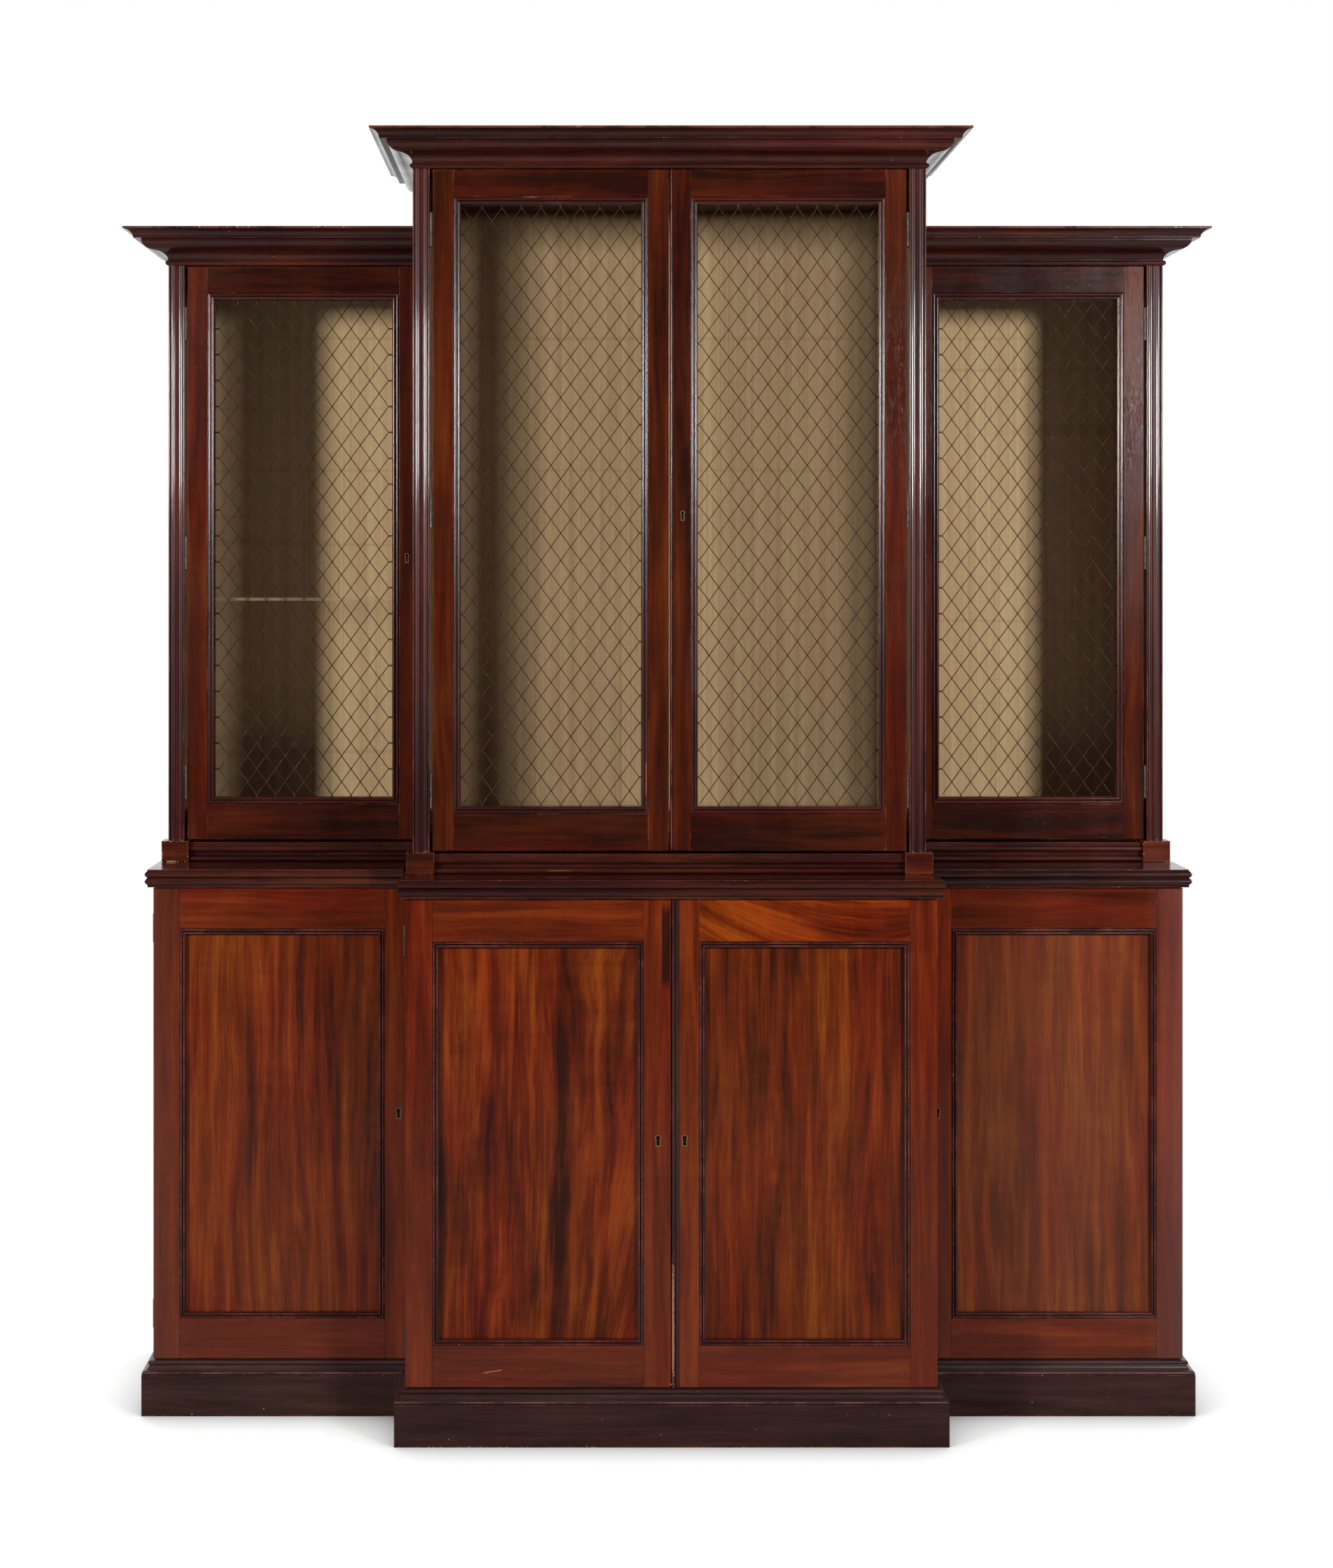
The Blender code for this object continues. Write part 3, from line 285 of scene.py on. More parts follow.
@dataclass
class Solid:
    """A mesh in the making, of any number of closed solids."""

    name: str
    points: list[Vector] = field(default_factory=list)
    grain: list[Vector] = field(default_factory=list)
    edge: list[float] = field(default_factory=list)
    tone: list[float] = field(default_factory=list)
    faces: list[list[int]] = field(default_factory=list)
    normals: list[list[Vector]] = field(default_factory=list)
    slots: list[int] = field(default_factory=list)

    def __post_init__(self) -> None:
        """Seeds what differs from board to board by the solid's own name."""
        self.dice = random.Random(self.name)

    def new_board(self, tone: float | None = None) -> None:
        """Starts another board: a fresh place in the timber and a fresh tone."""
        self.shift = Vector(self.dice.uniform(-5, 5) for _ in range(3))
        self.board_tone = self.dice.uniform(-1, 1) if tone is None else tone

    def point(self, place: Vector, grain: Vector, edge: float = 0.0) -> int:
        """Adds a point and returns its number.

        Args:
            place: Where it is.
            grain: Where it lies in its own timber, along the grain first.
            edge: 1 on an edge, -1 in a hollow.

        Returns:
            Its number.
        """
        self.points.append(Vector(place))
        self.grain.append(Vector(grain) + self.shift)
        self.edge.append(edge)
        self.tone.append(self.board_tone)
        return len(self.points) - 1

    def face(self, ids: Sequence[int], normals: Sequence[Vector], slot: int = 0) -> None:
        """Adds a face, turned so that it agrees with its corners' normals.

        Args:
            ids: Its corners' numbers.
            normals: A normal for each corner.
            slot: Which of the object's finishes it has.
        """
        ids, normals = list(ids), [Vector(n) for n in normals]
        start = self.points[ids[0]]
        flat = sum(((self.points[a] - start).cross(self.points[b] - start) for a, b in closed(ids)), Vector())
        if flat.length < 1e-12:
            return
        if flat.dot(sum(normals, Vector())) < 0:
            ids.reverse()
            normals.reverse()
        self.faces.append(ids)
        self.normals.append(normals)
        self.slots.append(slot)

    def wall(
        self, first: Sequence[int], second: Sequence[int], normals: Sequence[Vector], slot: int = 0
    ) -> None:
        """Joins two rings of points by a flat face on each stretch, with its own normal."""
        for (a, b), (c, d), normal in zip(closed(first), closed(second), normals):
            self.face([a, b, d, c], [normal] * 4, slot)

    def repaint(self, slot: int, axis: Axis, low: float, high: float = math.inf) -> None:
        """Gives another finish to the faces that lie between two levels of an axis.

        Args:
            slot: The finish that they get.
            axis: The axis that the levels are on.
            low: The lower level.
            high: The upper level.
        """
        for k, face in enumerate(self.faces):
            if all(low < self.points[i][axis.value] < high for i in face):
                self.slots[k] = slot

    def board(
        self, low: Triple, high: Triple, along: Axis, slot: int = 0, ease: float | Triple = 0.0006,
        recesses: Sequence[Recess] = (), tone: float | None = None, margin: float = 0.003,
    ) -> None:
        """Adds a board with its edges taken off.

        Args:
            low: Its lowest corner.
            high: Its highest corner.
            along: The way of its grain.
            slot: Which of the object's finishes it has.
            ease: How much is taken off its edges, on all axes or on each.
            recesses: The pockets in its sides, at most one in each.
            tone: How it differs from its neighbours, from -1 to 1.
            margin: How far wear reaches in from an edge.
        """
        self.new_board(tone)
        turn = [along.value] + [k for k in range(3) if k != along.value]
        steps = []
        for a, b, own in zip(low, high, ease if isinstance(ease, tuple) else (ease,) * 3):
            e = min(own, (b - a) * 0.25)
            m = min(e + margin, (b - a) * 0.45)
            steps.append((a, a + e, a + m, b - m, b - e, b))
        known: dict[tuple, int] = {}

        def corner(axis: int, side: int, spots: dict[int, int]) -> int:
            """The point of one face at the given steps of its two other axes.

            Args:
                axis: The axis that the face looks along.
                side: Which way it looks.
                spots: The step on each of the other axes.

            Returns:
                The point's number.
            """
            key = (axis, side, *sorted(spots.items()))
            if key not in known:
                place = Vector()
                place[axis] = steps[axis][0 if side < 0 else 5]
                for k, spot in spots.items():
                    place[k] = steps[k][spot]
                rim = 1.0 if any(spot in (1, 4) for spot in spots.values()) else 0.0
                known[key] = self.point(place, Vector(place[t] for t in turn), rim)
            return known[key]

        for a, side in product(range(3), SIDES):
            b, c = (k for k in range(3) if k != a)
            pocket = next((r for r in recesses if (r.axis, r.side) == (a, side)), None)
            for i, j in product((1, 2, 3), (1, 2, 3)):
                ids = [corner(a, side, {b: i + p, c: j + q}) for p, q in ((0, 0), (1, 0), (1, 1), (0, 1))]
                if pocket and i == j == 2:
                    self._sink(ids, pocket, turn, slot)
                else:
                    self.face(ids, [UNITS[a] * side] * 4, slot)
        for (a, b, c), s, t in product(((0, 1, 2), (0, 2, 1), (1, 2, 0)), SIDES, SIDES):
            i, j = (1 if side < 0 else 4 for side in (s, t))
            for k in (1, 2, 3):
                ids = [corner(a, s, {b: j, c: k}), corner(a, s, {b: j, c: k + 1})]
                ids += [corner(b, t, {a: i, c: k + 1}), corner(b, t, {a: i, c: k})]
                self.face(ids, [UNITS[a] * s] * 2 + [UNITS[b] * t] * 2, slot)
        for sides in product(SIDES, repeat=3):
            i, j, k = (1 if side < 0 else 4 for side in sides)
            spots = ({1: j, 2: k}, {0: i, 2: k}, {0: i, 1: j})
            ids = [corner(axis, side, spot) for axis, (side, spot) in enumerate(zip(sides, spots))]
            self.face(ids, [unit * side for unit, side in zip(UNITS, sides)], slot)

    def _sink(self, rim: list[int], recess: Recess, turn: Sequence[int], slot: int) -> None:
        """Opens a recess inside a four-sided stretch of a board's side, whose grain runs by turn.

        Args:
            rim: The stretch's four corners.
            recess: The pocket.
            turn: The three axes, the grain's first.
            slot: Which of the object's finishes it has.
        """
        across = [k for k in range(3) if k != recess.axis]
        out = UNITS[recess.axis] * recess.side
        level = self.points[rim[0]][recess.axis]
        rings = []
        # A recess's floor counts as a hollow, so it gets the dirt and painted shade of hollows
        for depth, edge in ((0.0, 0.4), (recess.depth, -1.0)):
            ring = []
            for spot in recess.outline:
                place = out * (level * recess.side - depth)
                place[across[0]], place[across[1]] = spot
                ring.append(self.point(place, Vector(place[t] for t in turn), edge))
            rings.append(ring)
        mouth, floor = rings
        loops = [[Vector((*(self.points[i][k] for k in across), 0)) for i in ids] for ids in (rim, mouth)]
        ids = rim + mouth
        for triangle in tessellate_polygon(loops):
            self.face([ids[k] for k in triangle], [out] * 3, slot)
        middle = sum((self.points[i] for i in mouth), Vector()) / len(mouth)
        ways = [out.cross(self.points[b] - self.points[a]).normalized() for a, b in closed(mouth)]
        inwards = [-way if way.dot(middle - self.points[a]) < 0 else way for way, a in zip(ways, mouth)]
        self.wall(mouth, floor, inwards, slot)
        self.face(floor, [out] * len(floor), slot)

    def run(
        self, section: Section, origin: Sequence[float], along: Vector, out: Vector, up: Vector,
        length: float, mitres: Pair = (0, 0), slot: int = 0,
    ) -> None:
        """Adds a straight length of a section.

        Args:
            section: Its outline, as (out, up) points.
            origin: Where the outline's zero starts.
            along: The way it runs.
            out: The way of the outline's first value.
            up: The way of the outline's second value.
            length: How long it is at out zero.
            mitres: How much each end grows with out: 1 on an outer corner, -1 on an inner one.
            slot: Which of the object's finishes it has.
        """
        self.new_board()
        rings = []
        for far in (0, 1):
            ring = []
            for (o, u), edge in zip(section.points, section.edges):
                t = length + mitres[1] * o if far else -mitres[0] * o
                place = Vector(origin) + out * o + up * u + along * t
                ring.append(self.point(place, Vector((t, o, u)), edge))
            rings.append(ring)
        for (a, b), (c, d), ways in zip(closed(rings[0]), closed(rings[1]), section.normals):
            first, second = (out * x + up * y for x, y in ways)
            self.face([a, b, d, c], [first, second, second, first], slot)
        for ring, way in zip(rings, (-along, along)):
            self.face(ring, [way] * len(ring), slot)

    def path(self, section: Section, corners: Sequence[Pair]) -> None:
        """Adds a section mitred round an open plan path that has its outside on the right.

        Args:
            section: Its outline, as (out, height) points.
            corners: The path's corners in x and y.
        """
        legs = []
        for a, b in zip(corners, corners[1:]):
            length = math.dist(a, b)
            along = Vector(((b[0] - a[0]) / length, (b[1] - a[1]) / length, 0))
            legs.append((Vector((*a, 0)), along, length))
        turns = [0.0] + [a[1].cross(b[1]).z for a, b in zip(legs, legs[1:])] + [0.0]
        for k, (start, along, length) in enumerate(legs):
            out = Vector((along.y, -along.x, 0))
            self.run(section, start, along, out, UP, length, (turns[k], turns[k + 1]))

    def turned(self, profile: Sequence[Pair], origin: Vector, axis: Vector, sides: int = 18) -> None:
        """Adds a turned piece.

        Args:
            profile: (radius, along) points, from one end on the axis to the other.
            origin: Where along is zero.
            axis: The way of the axis.
            sides: How many flats it has.
        """
        self.new_board()
        side = axis.orthogonal().normalized()
        other = axis.cross(side)
        angles = [2 * math.pi * k / sides for k in range(sides)]
        ways = [side * math.cos(a) + other * math.sin(a) for a in angles]
        rings = []
        for radius, along in profile:
            centre = origin + axis * along
            if not radius:
                rings.append([self.point(centre, Vector((along, 0, 0)))] * sides)
                continue
            spots = [Vector((along, radius * math.cos(a), radius * math.sin(a))) for a in angles]
            rings.append([self.point(centre + way * radius, spot) for way, spot in zip(ways, spots)])
        for (r0, t0), (r1, t1), first, second in zip(profile, profile[1:], rings, rings[1:]):
            slope = Vector((t1 - t0, r0 - r1)).normalized()
            normals = [way * slope.x + axis * slope.y for way in ways]
            for (a, b), (c, d), (m, n) in zip(closed(first), closed(second), closed(normals)):
                corners = {i: normal for i, normal in ((a, m), (b, n), (d, n), (c, m))}
                self.face(list(corners), list(corners.values()))

    def collar(self, outer: Sequence[Pair], inner: Sequence[Pair], front: float, back: float) -> None:
        """Adds a thin ring between two outlines in x and z, from one depth to another.

        Args:
            outer: The outer outline.
            inner: The inner one, of as many points.
            front: Depth of its front.
            back: Depth of its back.
        """
        self.new_board()
        outer_front, outer_back, inner_front, inner_back = (
            [self.point(Vector((x, depth, z)), Vector((z, x, depth)), 0.5) for x, z in outline]
            for outline, depth in product((outer, inner), (front, back))
        )
        middle = sum((self.points[i] for i in inner_front), Vector()) / len(inner)
        halves = ((self.points[a] + self.points[b]) / 2 - middle for a, b in closed(outer_front))
        ways = [Vector((half.x, 0, half.z)).normalized() for half in halves]
        self.wall(outer_front, outer_back, ways)
        self.wall(inner_front, inner_back, [-way for way in ways])
        self.wall(outer_front, inner_front, [FRONT] * len(outer))
        self.wall(outer_back, inner_back, [BACK] * len(outer))

    def slab(
        self, corners: Sequence[Pair], exposed: Sequence[bool], section: list[Pair], level: float
    ) -> None:
        """Adds a board whose exposed edges are moulded.

        Args:
            corners: Its plan, with its outside on the right.
            exposed: Whether each edge is moulded, from the first corner on.
            section: (out, height) points of the moulding, bottom first.
            level: The height of the section's zero.
        """
        self.new_board()
        ways = []
        for a, b in closed(corners):
            length = math.dist(a, b)
            ways.append(Vector(((b[1] - a[1]) / length, (a[0] - b[0]) / length, 0)))
        inside = -0.05
        whole = Section([(inside, section[0][1]), *section, (inside, section[-1][1])])
        count = len(whole.points)
        shown = [k for k, p in enumerate(whole.points) if p[0] > inside * 0.9]
        start = next(k for k in shown if (k - 1) % count not in shown)
        order = [(start + k) % count for k in range(len(shown))]
        rings = []
        for k in order:
            out, height = whole.points[k]
            ring = []
            for i, (x, y) in enumerate(corners):
                place = Vector((x, y, level + height))
                place += sum((ways[e] * out for e in (i - 1, i) if exposed[e]), Vector())
                ring.append(self.point(place, place, whole.edges[k]))
            rings.append(ring)
        for first, second, k in zip(rings, rings[1:], order):
            for (a, b), (c, d), way, open_edge in zip(closed(first), closed(second), ways, exposed):
                low, high = (way * v[0] + UP * v[1] if open_edge else way for v in whole.normals[k])
                self.face([a, b, d, c], [low, low, high, high])
        self.face(rings[0], [-UP] * len(corners))
        self.face(rings[-1], [UP] * len(corners))

    def finish(self, finishes: Sequence[str], body: str, nodes: Sequence[str], slot: str) -> None:
        """Makes the object and ties it to the model.

        Args:
            finishes: Its finishes' names, in the order of its slots.
            body: The CAD body that it rides on.
            nodes: The CAD nodes that it stands for.
            slot: The record's material slot for its finish; not used.
        """
        mesh = bpy.data.meshes.new(self.name)
        mesh.from_pydata(self.points, [], self.faces)
        for name in finishes:
            mesh.materials.append(Materials.get(name))
        mesh.polygons.foreach_set("material_index", self.slots)
        mesh.shade_smooth()
        grain = mesh.attributes.new("grain", "FLOAT_VECTOR", "POINT")
        grain.data.foreach_set("vector", [c for g in self.grain for c in g])
        for name, values in (("edge", self.edge), ("tone", self.tone)):
            mesh.attributes.new(name, "FLOAT", "POINT").data.foreach_set("value", values)
        mesh.normals_split_custom_set([n for face in self.normals for n in face])
        mesh.update()
        placed(self.name, mesh, body, nodes)


def linked(name: str, data: bpy.types.ID) -> bpy.types.Object:
    """Puts an object with that data in the scene.

    Args:
        name: The object's name.
        data: Its mesh, light or camera.

    Returns:
        The object.
    """
    obj = bpy.data.objects.new(name, data)
    bpy.context.scene.collection.objects.link(obj)
    return obj


def placed(
    name: str, mesh: bpy.types.Mesh, body: str, nodes: Sequence[str]
) -> bpy.types.Object:
    """Puts a finished mesh in the scene, on its body.

    Args:
        name: The piece's name.
        mesh: Its mesh, already in place.
        body: The CAD body that it rides on.
        nodes: The CAD nodes that it stands for.

    Returns:
        The new object.
    """
    obj = linked(name, mesh)
    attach(obj, body)
    if nodes:
        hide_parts(*nodes)
    LOG.info("%s: %d faces on %s", name, len(mesh.polygons), body)
    return obj


# Finishes


@dataclass(frozen=True, eq=False)
class Val:
    """A node's output that plain operators reckon with."""

    w: "Writer"
    socket: Socket

    def __add__(self, other: object) -> "Val":
        """The sum."""
        return self.w.maths("ADD", self, other)

    def __sub__(self, other: object) -> "Val":
        """What is left of it."""
        return self.w.maths("SUBTRACT", self, other)

    def __rsub__(self, other: object) -> "Val":
        """What it leaves of another."""
        return self.w.maths("SUBTRACT", other, self)

    def __mul__(self, other: object) -> "Val":
        """The product."""
        return self.w.maths("MULTIPLY", self, other)

    def __truediv__(self, other: object) -> "Val":
        """The quotient."""
        return self.w.maths("DIVIDE", self, other)

    def __rtruediv__(self, other: object) -> "Val":
        """Another divided by it."""
        return self.w.maths("DIVIDE", other, self)

    def above(self, floor: float) -> "Val":
        """The value, and never less than a floor."""
        return self.w.maths("MAXIMUM", self, floor)

    def size(self) -> "Val":
        """Its amount without its sign."""
        return self.w.maths("ABSOLUTE", self)


class Writer:
    """Short ways to write a node tree."""

    def __init__(self, tree: bpy.types.NodeTree) -> None:
        """Takes the tree that it writes in."""
        self.tree = tree

    @classmethod
    def start(
        cls, name: str, kind: str, inputs: dict[str, str], outputs: dict[str, str]
    ) -> tuple["Writer", dict[str, Val]]:
        """Starts a node group.

        Args:
            name: The group's name.
            kind: Shader or Geometry.
            inputs: Socket kind by name.
            outputs: Socket kind by name.

        Returns:
            Its writer, and its inputs by name.
        """
        w = cls(bpy.data.node_groups.new(name, f"{kind}NodeTree"))
        for way, sockets in (("INPUT", inputs), ("OUTPUT", outputs)):
            for label, sort in sockets.items():
                w.tree.interface.new_socket(label, in_out=way, socket_type=f"NodeSocket{sort}")
        return w, w.outputs(w.node("NodeGroupInput"))

    def feed(self, socket: Socket, value: object) -> None:
        """Links a socket to another, or sets its value.

        Args:
            socket: The input.
            value: A node's output, or a plain value.
        """
        if isinstance(value, Val):
            self.tree.links.new(value.socket, socket)
        else:
            socket.default_value = value

    def node(self, kind: str, *values: object, **named: object) -> bpy.types.Node:
        """Adds a node.

        Args:
            kind: Its type.
            values: What goes into its inputs, in order.
            named: Its settings in lower case, and more inputs with spaces as underscores.

        Returns:
            The node.
        """
        made = self.tree.nodes.new(kind)
        for key, value in named.items():
            if key.islower():
                setattr(made, key, value)
        for socket, value in zip(made.inputs, values):
            self.feed(socket, value)
        for key, value in named.items():
            if not key.islower():
                label = key.replace("_", " ")
                self.feed(next(s for s in made.inputs if s.enabled and s.name == label), value)
        return made

    def outputs(self, node: bpy.types.Node) -> dict[str, Val]:
        """The outputs that a node has in use, by name."""
        return {socket.name: Val(self, socket) for socket in node.outputs if socket.enabled}

    def get(self, kind: str, *values: object, output: str = "", **named: object) -> Val:
        """Adds a node and takes its output of that name, or its first one."""
        outputs = self.outputs(self.node(kind, *values, **named))
        return outputs[output] if output else next(iter(outputs.values()))

    def maths(self, operation: str, *values: object, clamp: bool = False) -> Val:
        """A Math node's result."""
        return self.get("ShaderNodeMath", *values, operation=operation, use_clamp=clamp)

    def split(self, vector: Val) -> list[Val]:
        """The three parts of a vector."""
        return list(self.outputs(self.node("ShaderNodeSeparateXYZ", vector)).values())

    def join(self, x: object = 0.0, y: object = 0.0, z: object = 0.0) -> Val:
        """A vector of three parts."""
        return self.get("ShaderNodeCombineXYZ", x, y, z)

    def noise(
        self, place: Val, scale: float | Triple, detail: float = 3, rough: float = 0.5, bend: float = 0
    ) -> Val:
        """A Noise Texture's value, scaled alike on all axes or on each.

        Args:
            place: Where it is read.
            scale: One scale, or one for each axis.
            detail: How many octaves it has.
            rough: How much the finer ones count.
            bend: How far it is distorted.

        Returns:
            The value.
        """
        if isinstance(scale, tuple):
            place, scale = self.get("ShaderNodeVectorMath", place, scale, operation="MULTIPLY"), 1.0
        rest = {"Scale": scale, "Detail": detail, "Roughness": rough, "Distortion": bend}
        return self.get("ShaderNodeTexNoise", output="Fac", Vector=place, **rest)

    def spread(
        self, value: Val, low: object, high: object, to_low: float = 0.0, to_high: float = 1.0,
        smooth: bool = False,
    ) -> Val:
        """A value carried from one range to another, and clamped."""
        kind = "SMOOTHSTEP" if smooth else "LINEAR"
        return self.get("ShaderNodeMapRange", value, low, high, to_low, to_high, interpolation_type=kind)

    def mix(self, factor: Val, first: object, second: object, blend: str = "MIX") -> Val:
        """A colour mixed from two."""
        return self.get("ShaderNodeMix", data_type="RGBA", blend_type=blend, Factor=factor, A=first, B=second)

    def group(self, name: str, **values: object) -> dict[str, Val]:
        """Places a shared group and gives its outputs by name.

        Args:
            name: The effect's name.
            values: What feeds its inputs, by name.

        Returns:
            Its outputs by name.
        """
        node = self.node("ShaderNodeGroup", node_tree=Effects.get(name))
        for key, value in values.items():
            self.feed(node.inputs[key], value)
        return self.outputs(node)

    def result(self, **values: Val) -> bpy.types.NodeTree:
        """Feeds the tree's outputs and returns the tree.

        Args:
            values: What feeds each output, by name.

        Returns:
            The tree.
        """
        out = self.node("NodeGroupOutput")
        for key, value in values.items():
            self.feed(out.inputs[key], value)
        return self.tree


class Surface(Writer):
    """A material's own tree, round its Principled shader."""

    def __init__(self, name: str) -> None:
        """Starts the material.

        Args:
            name: The material's name.
        """
        self.material = bpy.data.materials.new(name)
        self.material.use_nodes = True
        super().__init__(self.material.node_tree)
        self.shader = self.tree.nodes["Principled BSDF"]
        self.place = self.get("ShaderNodeTexCoord", output="Object")

    def set(self, **values: object) -> bpy.types.Material:
        """Feeds the shader's inputs, named with spaces as underscores, and returns the material.

        Args:
            values: What feeds each input.

        Returns:
            The material.
        """
        for key, value in values.items():
            self.feed(self.shader.inputs[key.replace("_", " ")], value)
        return self.material

    def bump(self, height: Val, strength: float, distance: float) -> Val:
        """A normal from a height."""
        return self.get("ShaderNodeBump", Strength=strength, Distance=distance, Height=height)


class Effects:
    """The node groups that the finishes share, each built once."""

    made: dict[str, bpy.types.NodeTree] = {}

    @classmethod
    def get(cls, name: str) -> bpy.types.NodeTree:
        """The group of that name, built on first use.

        Args:
            name: The effect's name.

        Returns:
            Its node group.
        """
        if name not in cls.made:
            cls.made[name] = getattr(cls, name)()
        return cls.made[name]

    @staticmethod
    def timber() -> bpy.types.NodeTree:
        """Streaks, ribbons, pores and clouds of a board, from where a point lies in it.

        Returns:
            The node group.
        """
        inputs = {"Grain": "Vector", "Dark": "Color", "Middle": "Color", "Light": "Color"}
        inputs |= dict.fromkeys(("Tone", "Streak", "Contrast", "Pores", "Hue"), "Float")
        w, given = Writer.start("timber", "Shader", inputs, {"Color": "Color", "Height": "Float"})
        grain = given["Grain"]
        sway = (w.noise(grain, (1.6, 9, 9), 2) - 0.5) * 0.05 + (w.noise(grain, (9, 30, 30), 2) - 0.5) * 0.006
        x, y, z = w.split(grain)
        spot = w.join(x, y + sway, z + sway)
        flow = w.get("ShaderNodeVectorMath", spot, operation="SCALE", Scale=given["Streak"])
        broad = w.noise(flow, (0.07, 1.1, 1.1), 2, 0.55)
        fine = w.noise(flow, (0.17, 4.5, 4.5), 3, 0.65)
        hair = w.noise(flow, (0.55, 22.0, 22.0), 2, 0.6)
        cloud = w.noise(grain, (2.2, 7, 7), 3)
        mottle = w.noise(grain, (55, 14, 14), 2)
        amount = (broad - 0.5) * 1.5
        for value, share in ((fine, 0.75), (hair, 0.35), (cloud, 0.95), (mottle, 0.22)):
            amount = amount + (value - 0.5) * share
        figure = w.maths("ADD", amount * given["Contrast"] + given["Tone"] * 0.10, 0.5, clamp=True)
        lower = w.mix(w.spread(figure, 0.05, 0.5), given["Dark"], given["Middle"])
        colour = w.mix(w.spread(figure, 0.5, 0.95), lower, given["Light"])
        hue = w.noise(grain, (2.5, 11, 11), 2)
        for start, end, factor in ((0.40, 0.62, (0.92, 1.25, 0.85, 1)), (0.50, 0.34, (1.0, 0.76, 0.80, 1))):
            colour = w.mix(w.spread(hue, start, end, 0.0, 0.7) * given["Hue"], colour, factor, "MULTIPLY")
        pore = w.spread(w.noise(grain, (70, 1500, 1500), 1), 0.60, 0.70)
        colour = w.mix(pore * given["Pores"], colour, (0.01, 0.004, 0.003, 1))
        return w.result(Color=colour, Height=hair * 0.4 - pore * 0.6)

    @staticmethod
    def handling() -> bpy.types.NodeTree:
        """Worn edges, chips, dirt and painted shade in hollows, specks and polish smears.

        Returns:
            The node group.
        """
        inputs = {"Place": "Vector"} | dict.fromkeys(("Edge", "Wear", "Chips", "Specks"), "Float")
        outputs = dict.fromkeys(("Worn", "Chip", "Dirt", "Smear", "Height"), "Float")
        w, given = Writer.start("handling", "Shader", inputs, outputs)
        place = given["Place"]
        outer, inner = given["Edge"].above(0.0), (given["Edge"] * -1.0).above(0.0)
        rub = w.noise(place, 14.0, 4, 0.65)
        gate = (rub - 0.5) * 1.5 + (w.noise(place, 130.0, 3, 0.6) * 0.35 - 0.15)
        level = 1.25 - given["Wear"]
        worn = w.spread(outer * 0.9 + gate, level, level + 0.35, smooth=True) * w.spread(outer, 0.02, 0.45)
        level = 1.52 - given["Chips"]
        chip = w.noise(place, 210.0, 2, 0.7) + w.noise(place, 9.0, 2, 0.5) * 0.5 + outer * 0.25
        chip = w.spread(chip, level, level + 0.05) * w.spread(outer, 0.3, 0.8)
        cells = w.outputs(w.node("ShaderNodeTexVoronoi", feature="F1", Vector=place, Scale=105.0))
        reach = w.spread(w.split(cells["Color"])[0], 0.90, 1.0) * given["Specks"]
        speck = w.maths("LESS_THAN", cells["Distance"], reach * 0.085)
        return w.result(
            Worn=worn,
            Chip=chip.above(speck),
            # Hollows darkened in colour: real dirt together with painted shade
            Dirt=inner * w.spread(rub, 0.25, 0.75, 0.55, 1.0),
            Smear=w.noise(place, (12.0, 12.0, 4.8), 4, 0.6, 0.6),
            Height=chip * -1.0,
        )

    @staticmethod
    def strie() -> bpy.types.NodeTree:
        """The uneven upright threads of the lining cloth, with a faint cross thread.

        Returns:
            The node group.
        """
        inputs = {"Place": "Vector", "Pale": "Color", "Middle": "Color", "Deep": "Color", "Strength": "Float"}
        w, given = Writer.start("strie", "Shader", inputs, {"Color": "Color", "Height": "Float"})
        place = given["Place"]
        broad = w.noise(place, (210, 1, 0.9), 2)
        thread = w.noise(place, (480, 1, 2.2), 3, 0.7)
        slub = w.noise(place, (900, 1, 24), 2)
        weft = w.noise(place, (10, 1, 700), 1)
        amount = (broad - 0.5) * 0.6
        for value, share in ((thread, 1.0), (slub, 0.6), (weft, 0.3)):
            amount = amount + (value - 0.5) * share
        amount = w.maths("ADD", amount * given["Strength"], 0.5, clamp=True)
        lower = w.mix(w.spread(amount, 0.1, 0.5), given["Deep"], given["Middle"])
        colour = w.mix(w.spread(amount, 0.5, 0.9), lower, given["Pale"])
        cast = w.spread(w.noise(place, (60, 1, 1.5), 1), 0.35, 0.75, 0.0, 0.35)
        stain = w.spread(w.noise(place, (2, 2, 2), 3), 0.3, 0.8, 0.0, 0.28)
        # Thin horizontal crease lines darkened in colour: painted shade of creases
        crease_shade = w.spread(w.noise(place, (0.4, 0.4, 60), 0), 0.70, 0.74, 0.0, 0.3)
        tints = (0.60, 0.42, 0.36, 1), (0.72, 0.60, 0.50, 1), (0.7, 0.6, 0.5, 1)
        for share, tint in zip((cast, stain, crease_shade), tints):
            colour = w.mix(share, colour, tint, "MULTIPLY")
        return w.result(Color=colour, Height=thread + weft * 0.5)


@dataclass(frozen=True)
class Warp:
    """Grain that fans out upwards to the right of a place, or arches over it."""

    flow: Flow
    centre: Pair
    amount: float

    def apply(self, w: Writer, place: Val, grain: Val, tone: Val) -> tuple[Val, Val]:
        """Bends the grain, and darkens the band that a fan starts from.

        Args:
            w: The material's writer.
            place: Where a point is.
            grain: Where it lies in its timber.
            tone: Its board's tone.

        Returns:
            The new grain and tone.
        """
        x, _, z = w.split(place)
        x, z = x - self.centre[0], z - self.centre[1]
        if self.flow is Flow.FAN:
            spread = z.above(0.0) * self.amount + 1.0
            shift = w.join(y=x.above(0.0) * (1.0 / spread - 1.0))
            tone = tone + w.spread(x.size(), 0.032, 0.0, smooth=True) * -3.2
        else:
            shift = w.join(z=x * x * -self.amount)
        return w.get("ShaderNodeVectorMath", grain, shift, operation="ADD"), tone


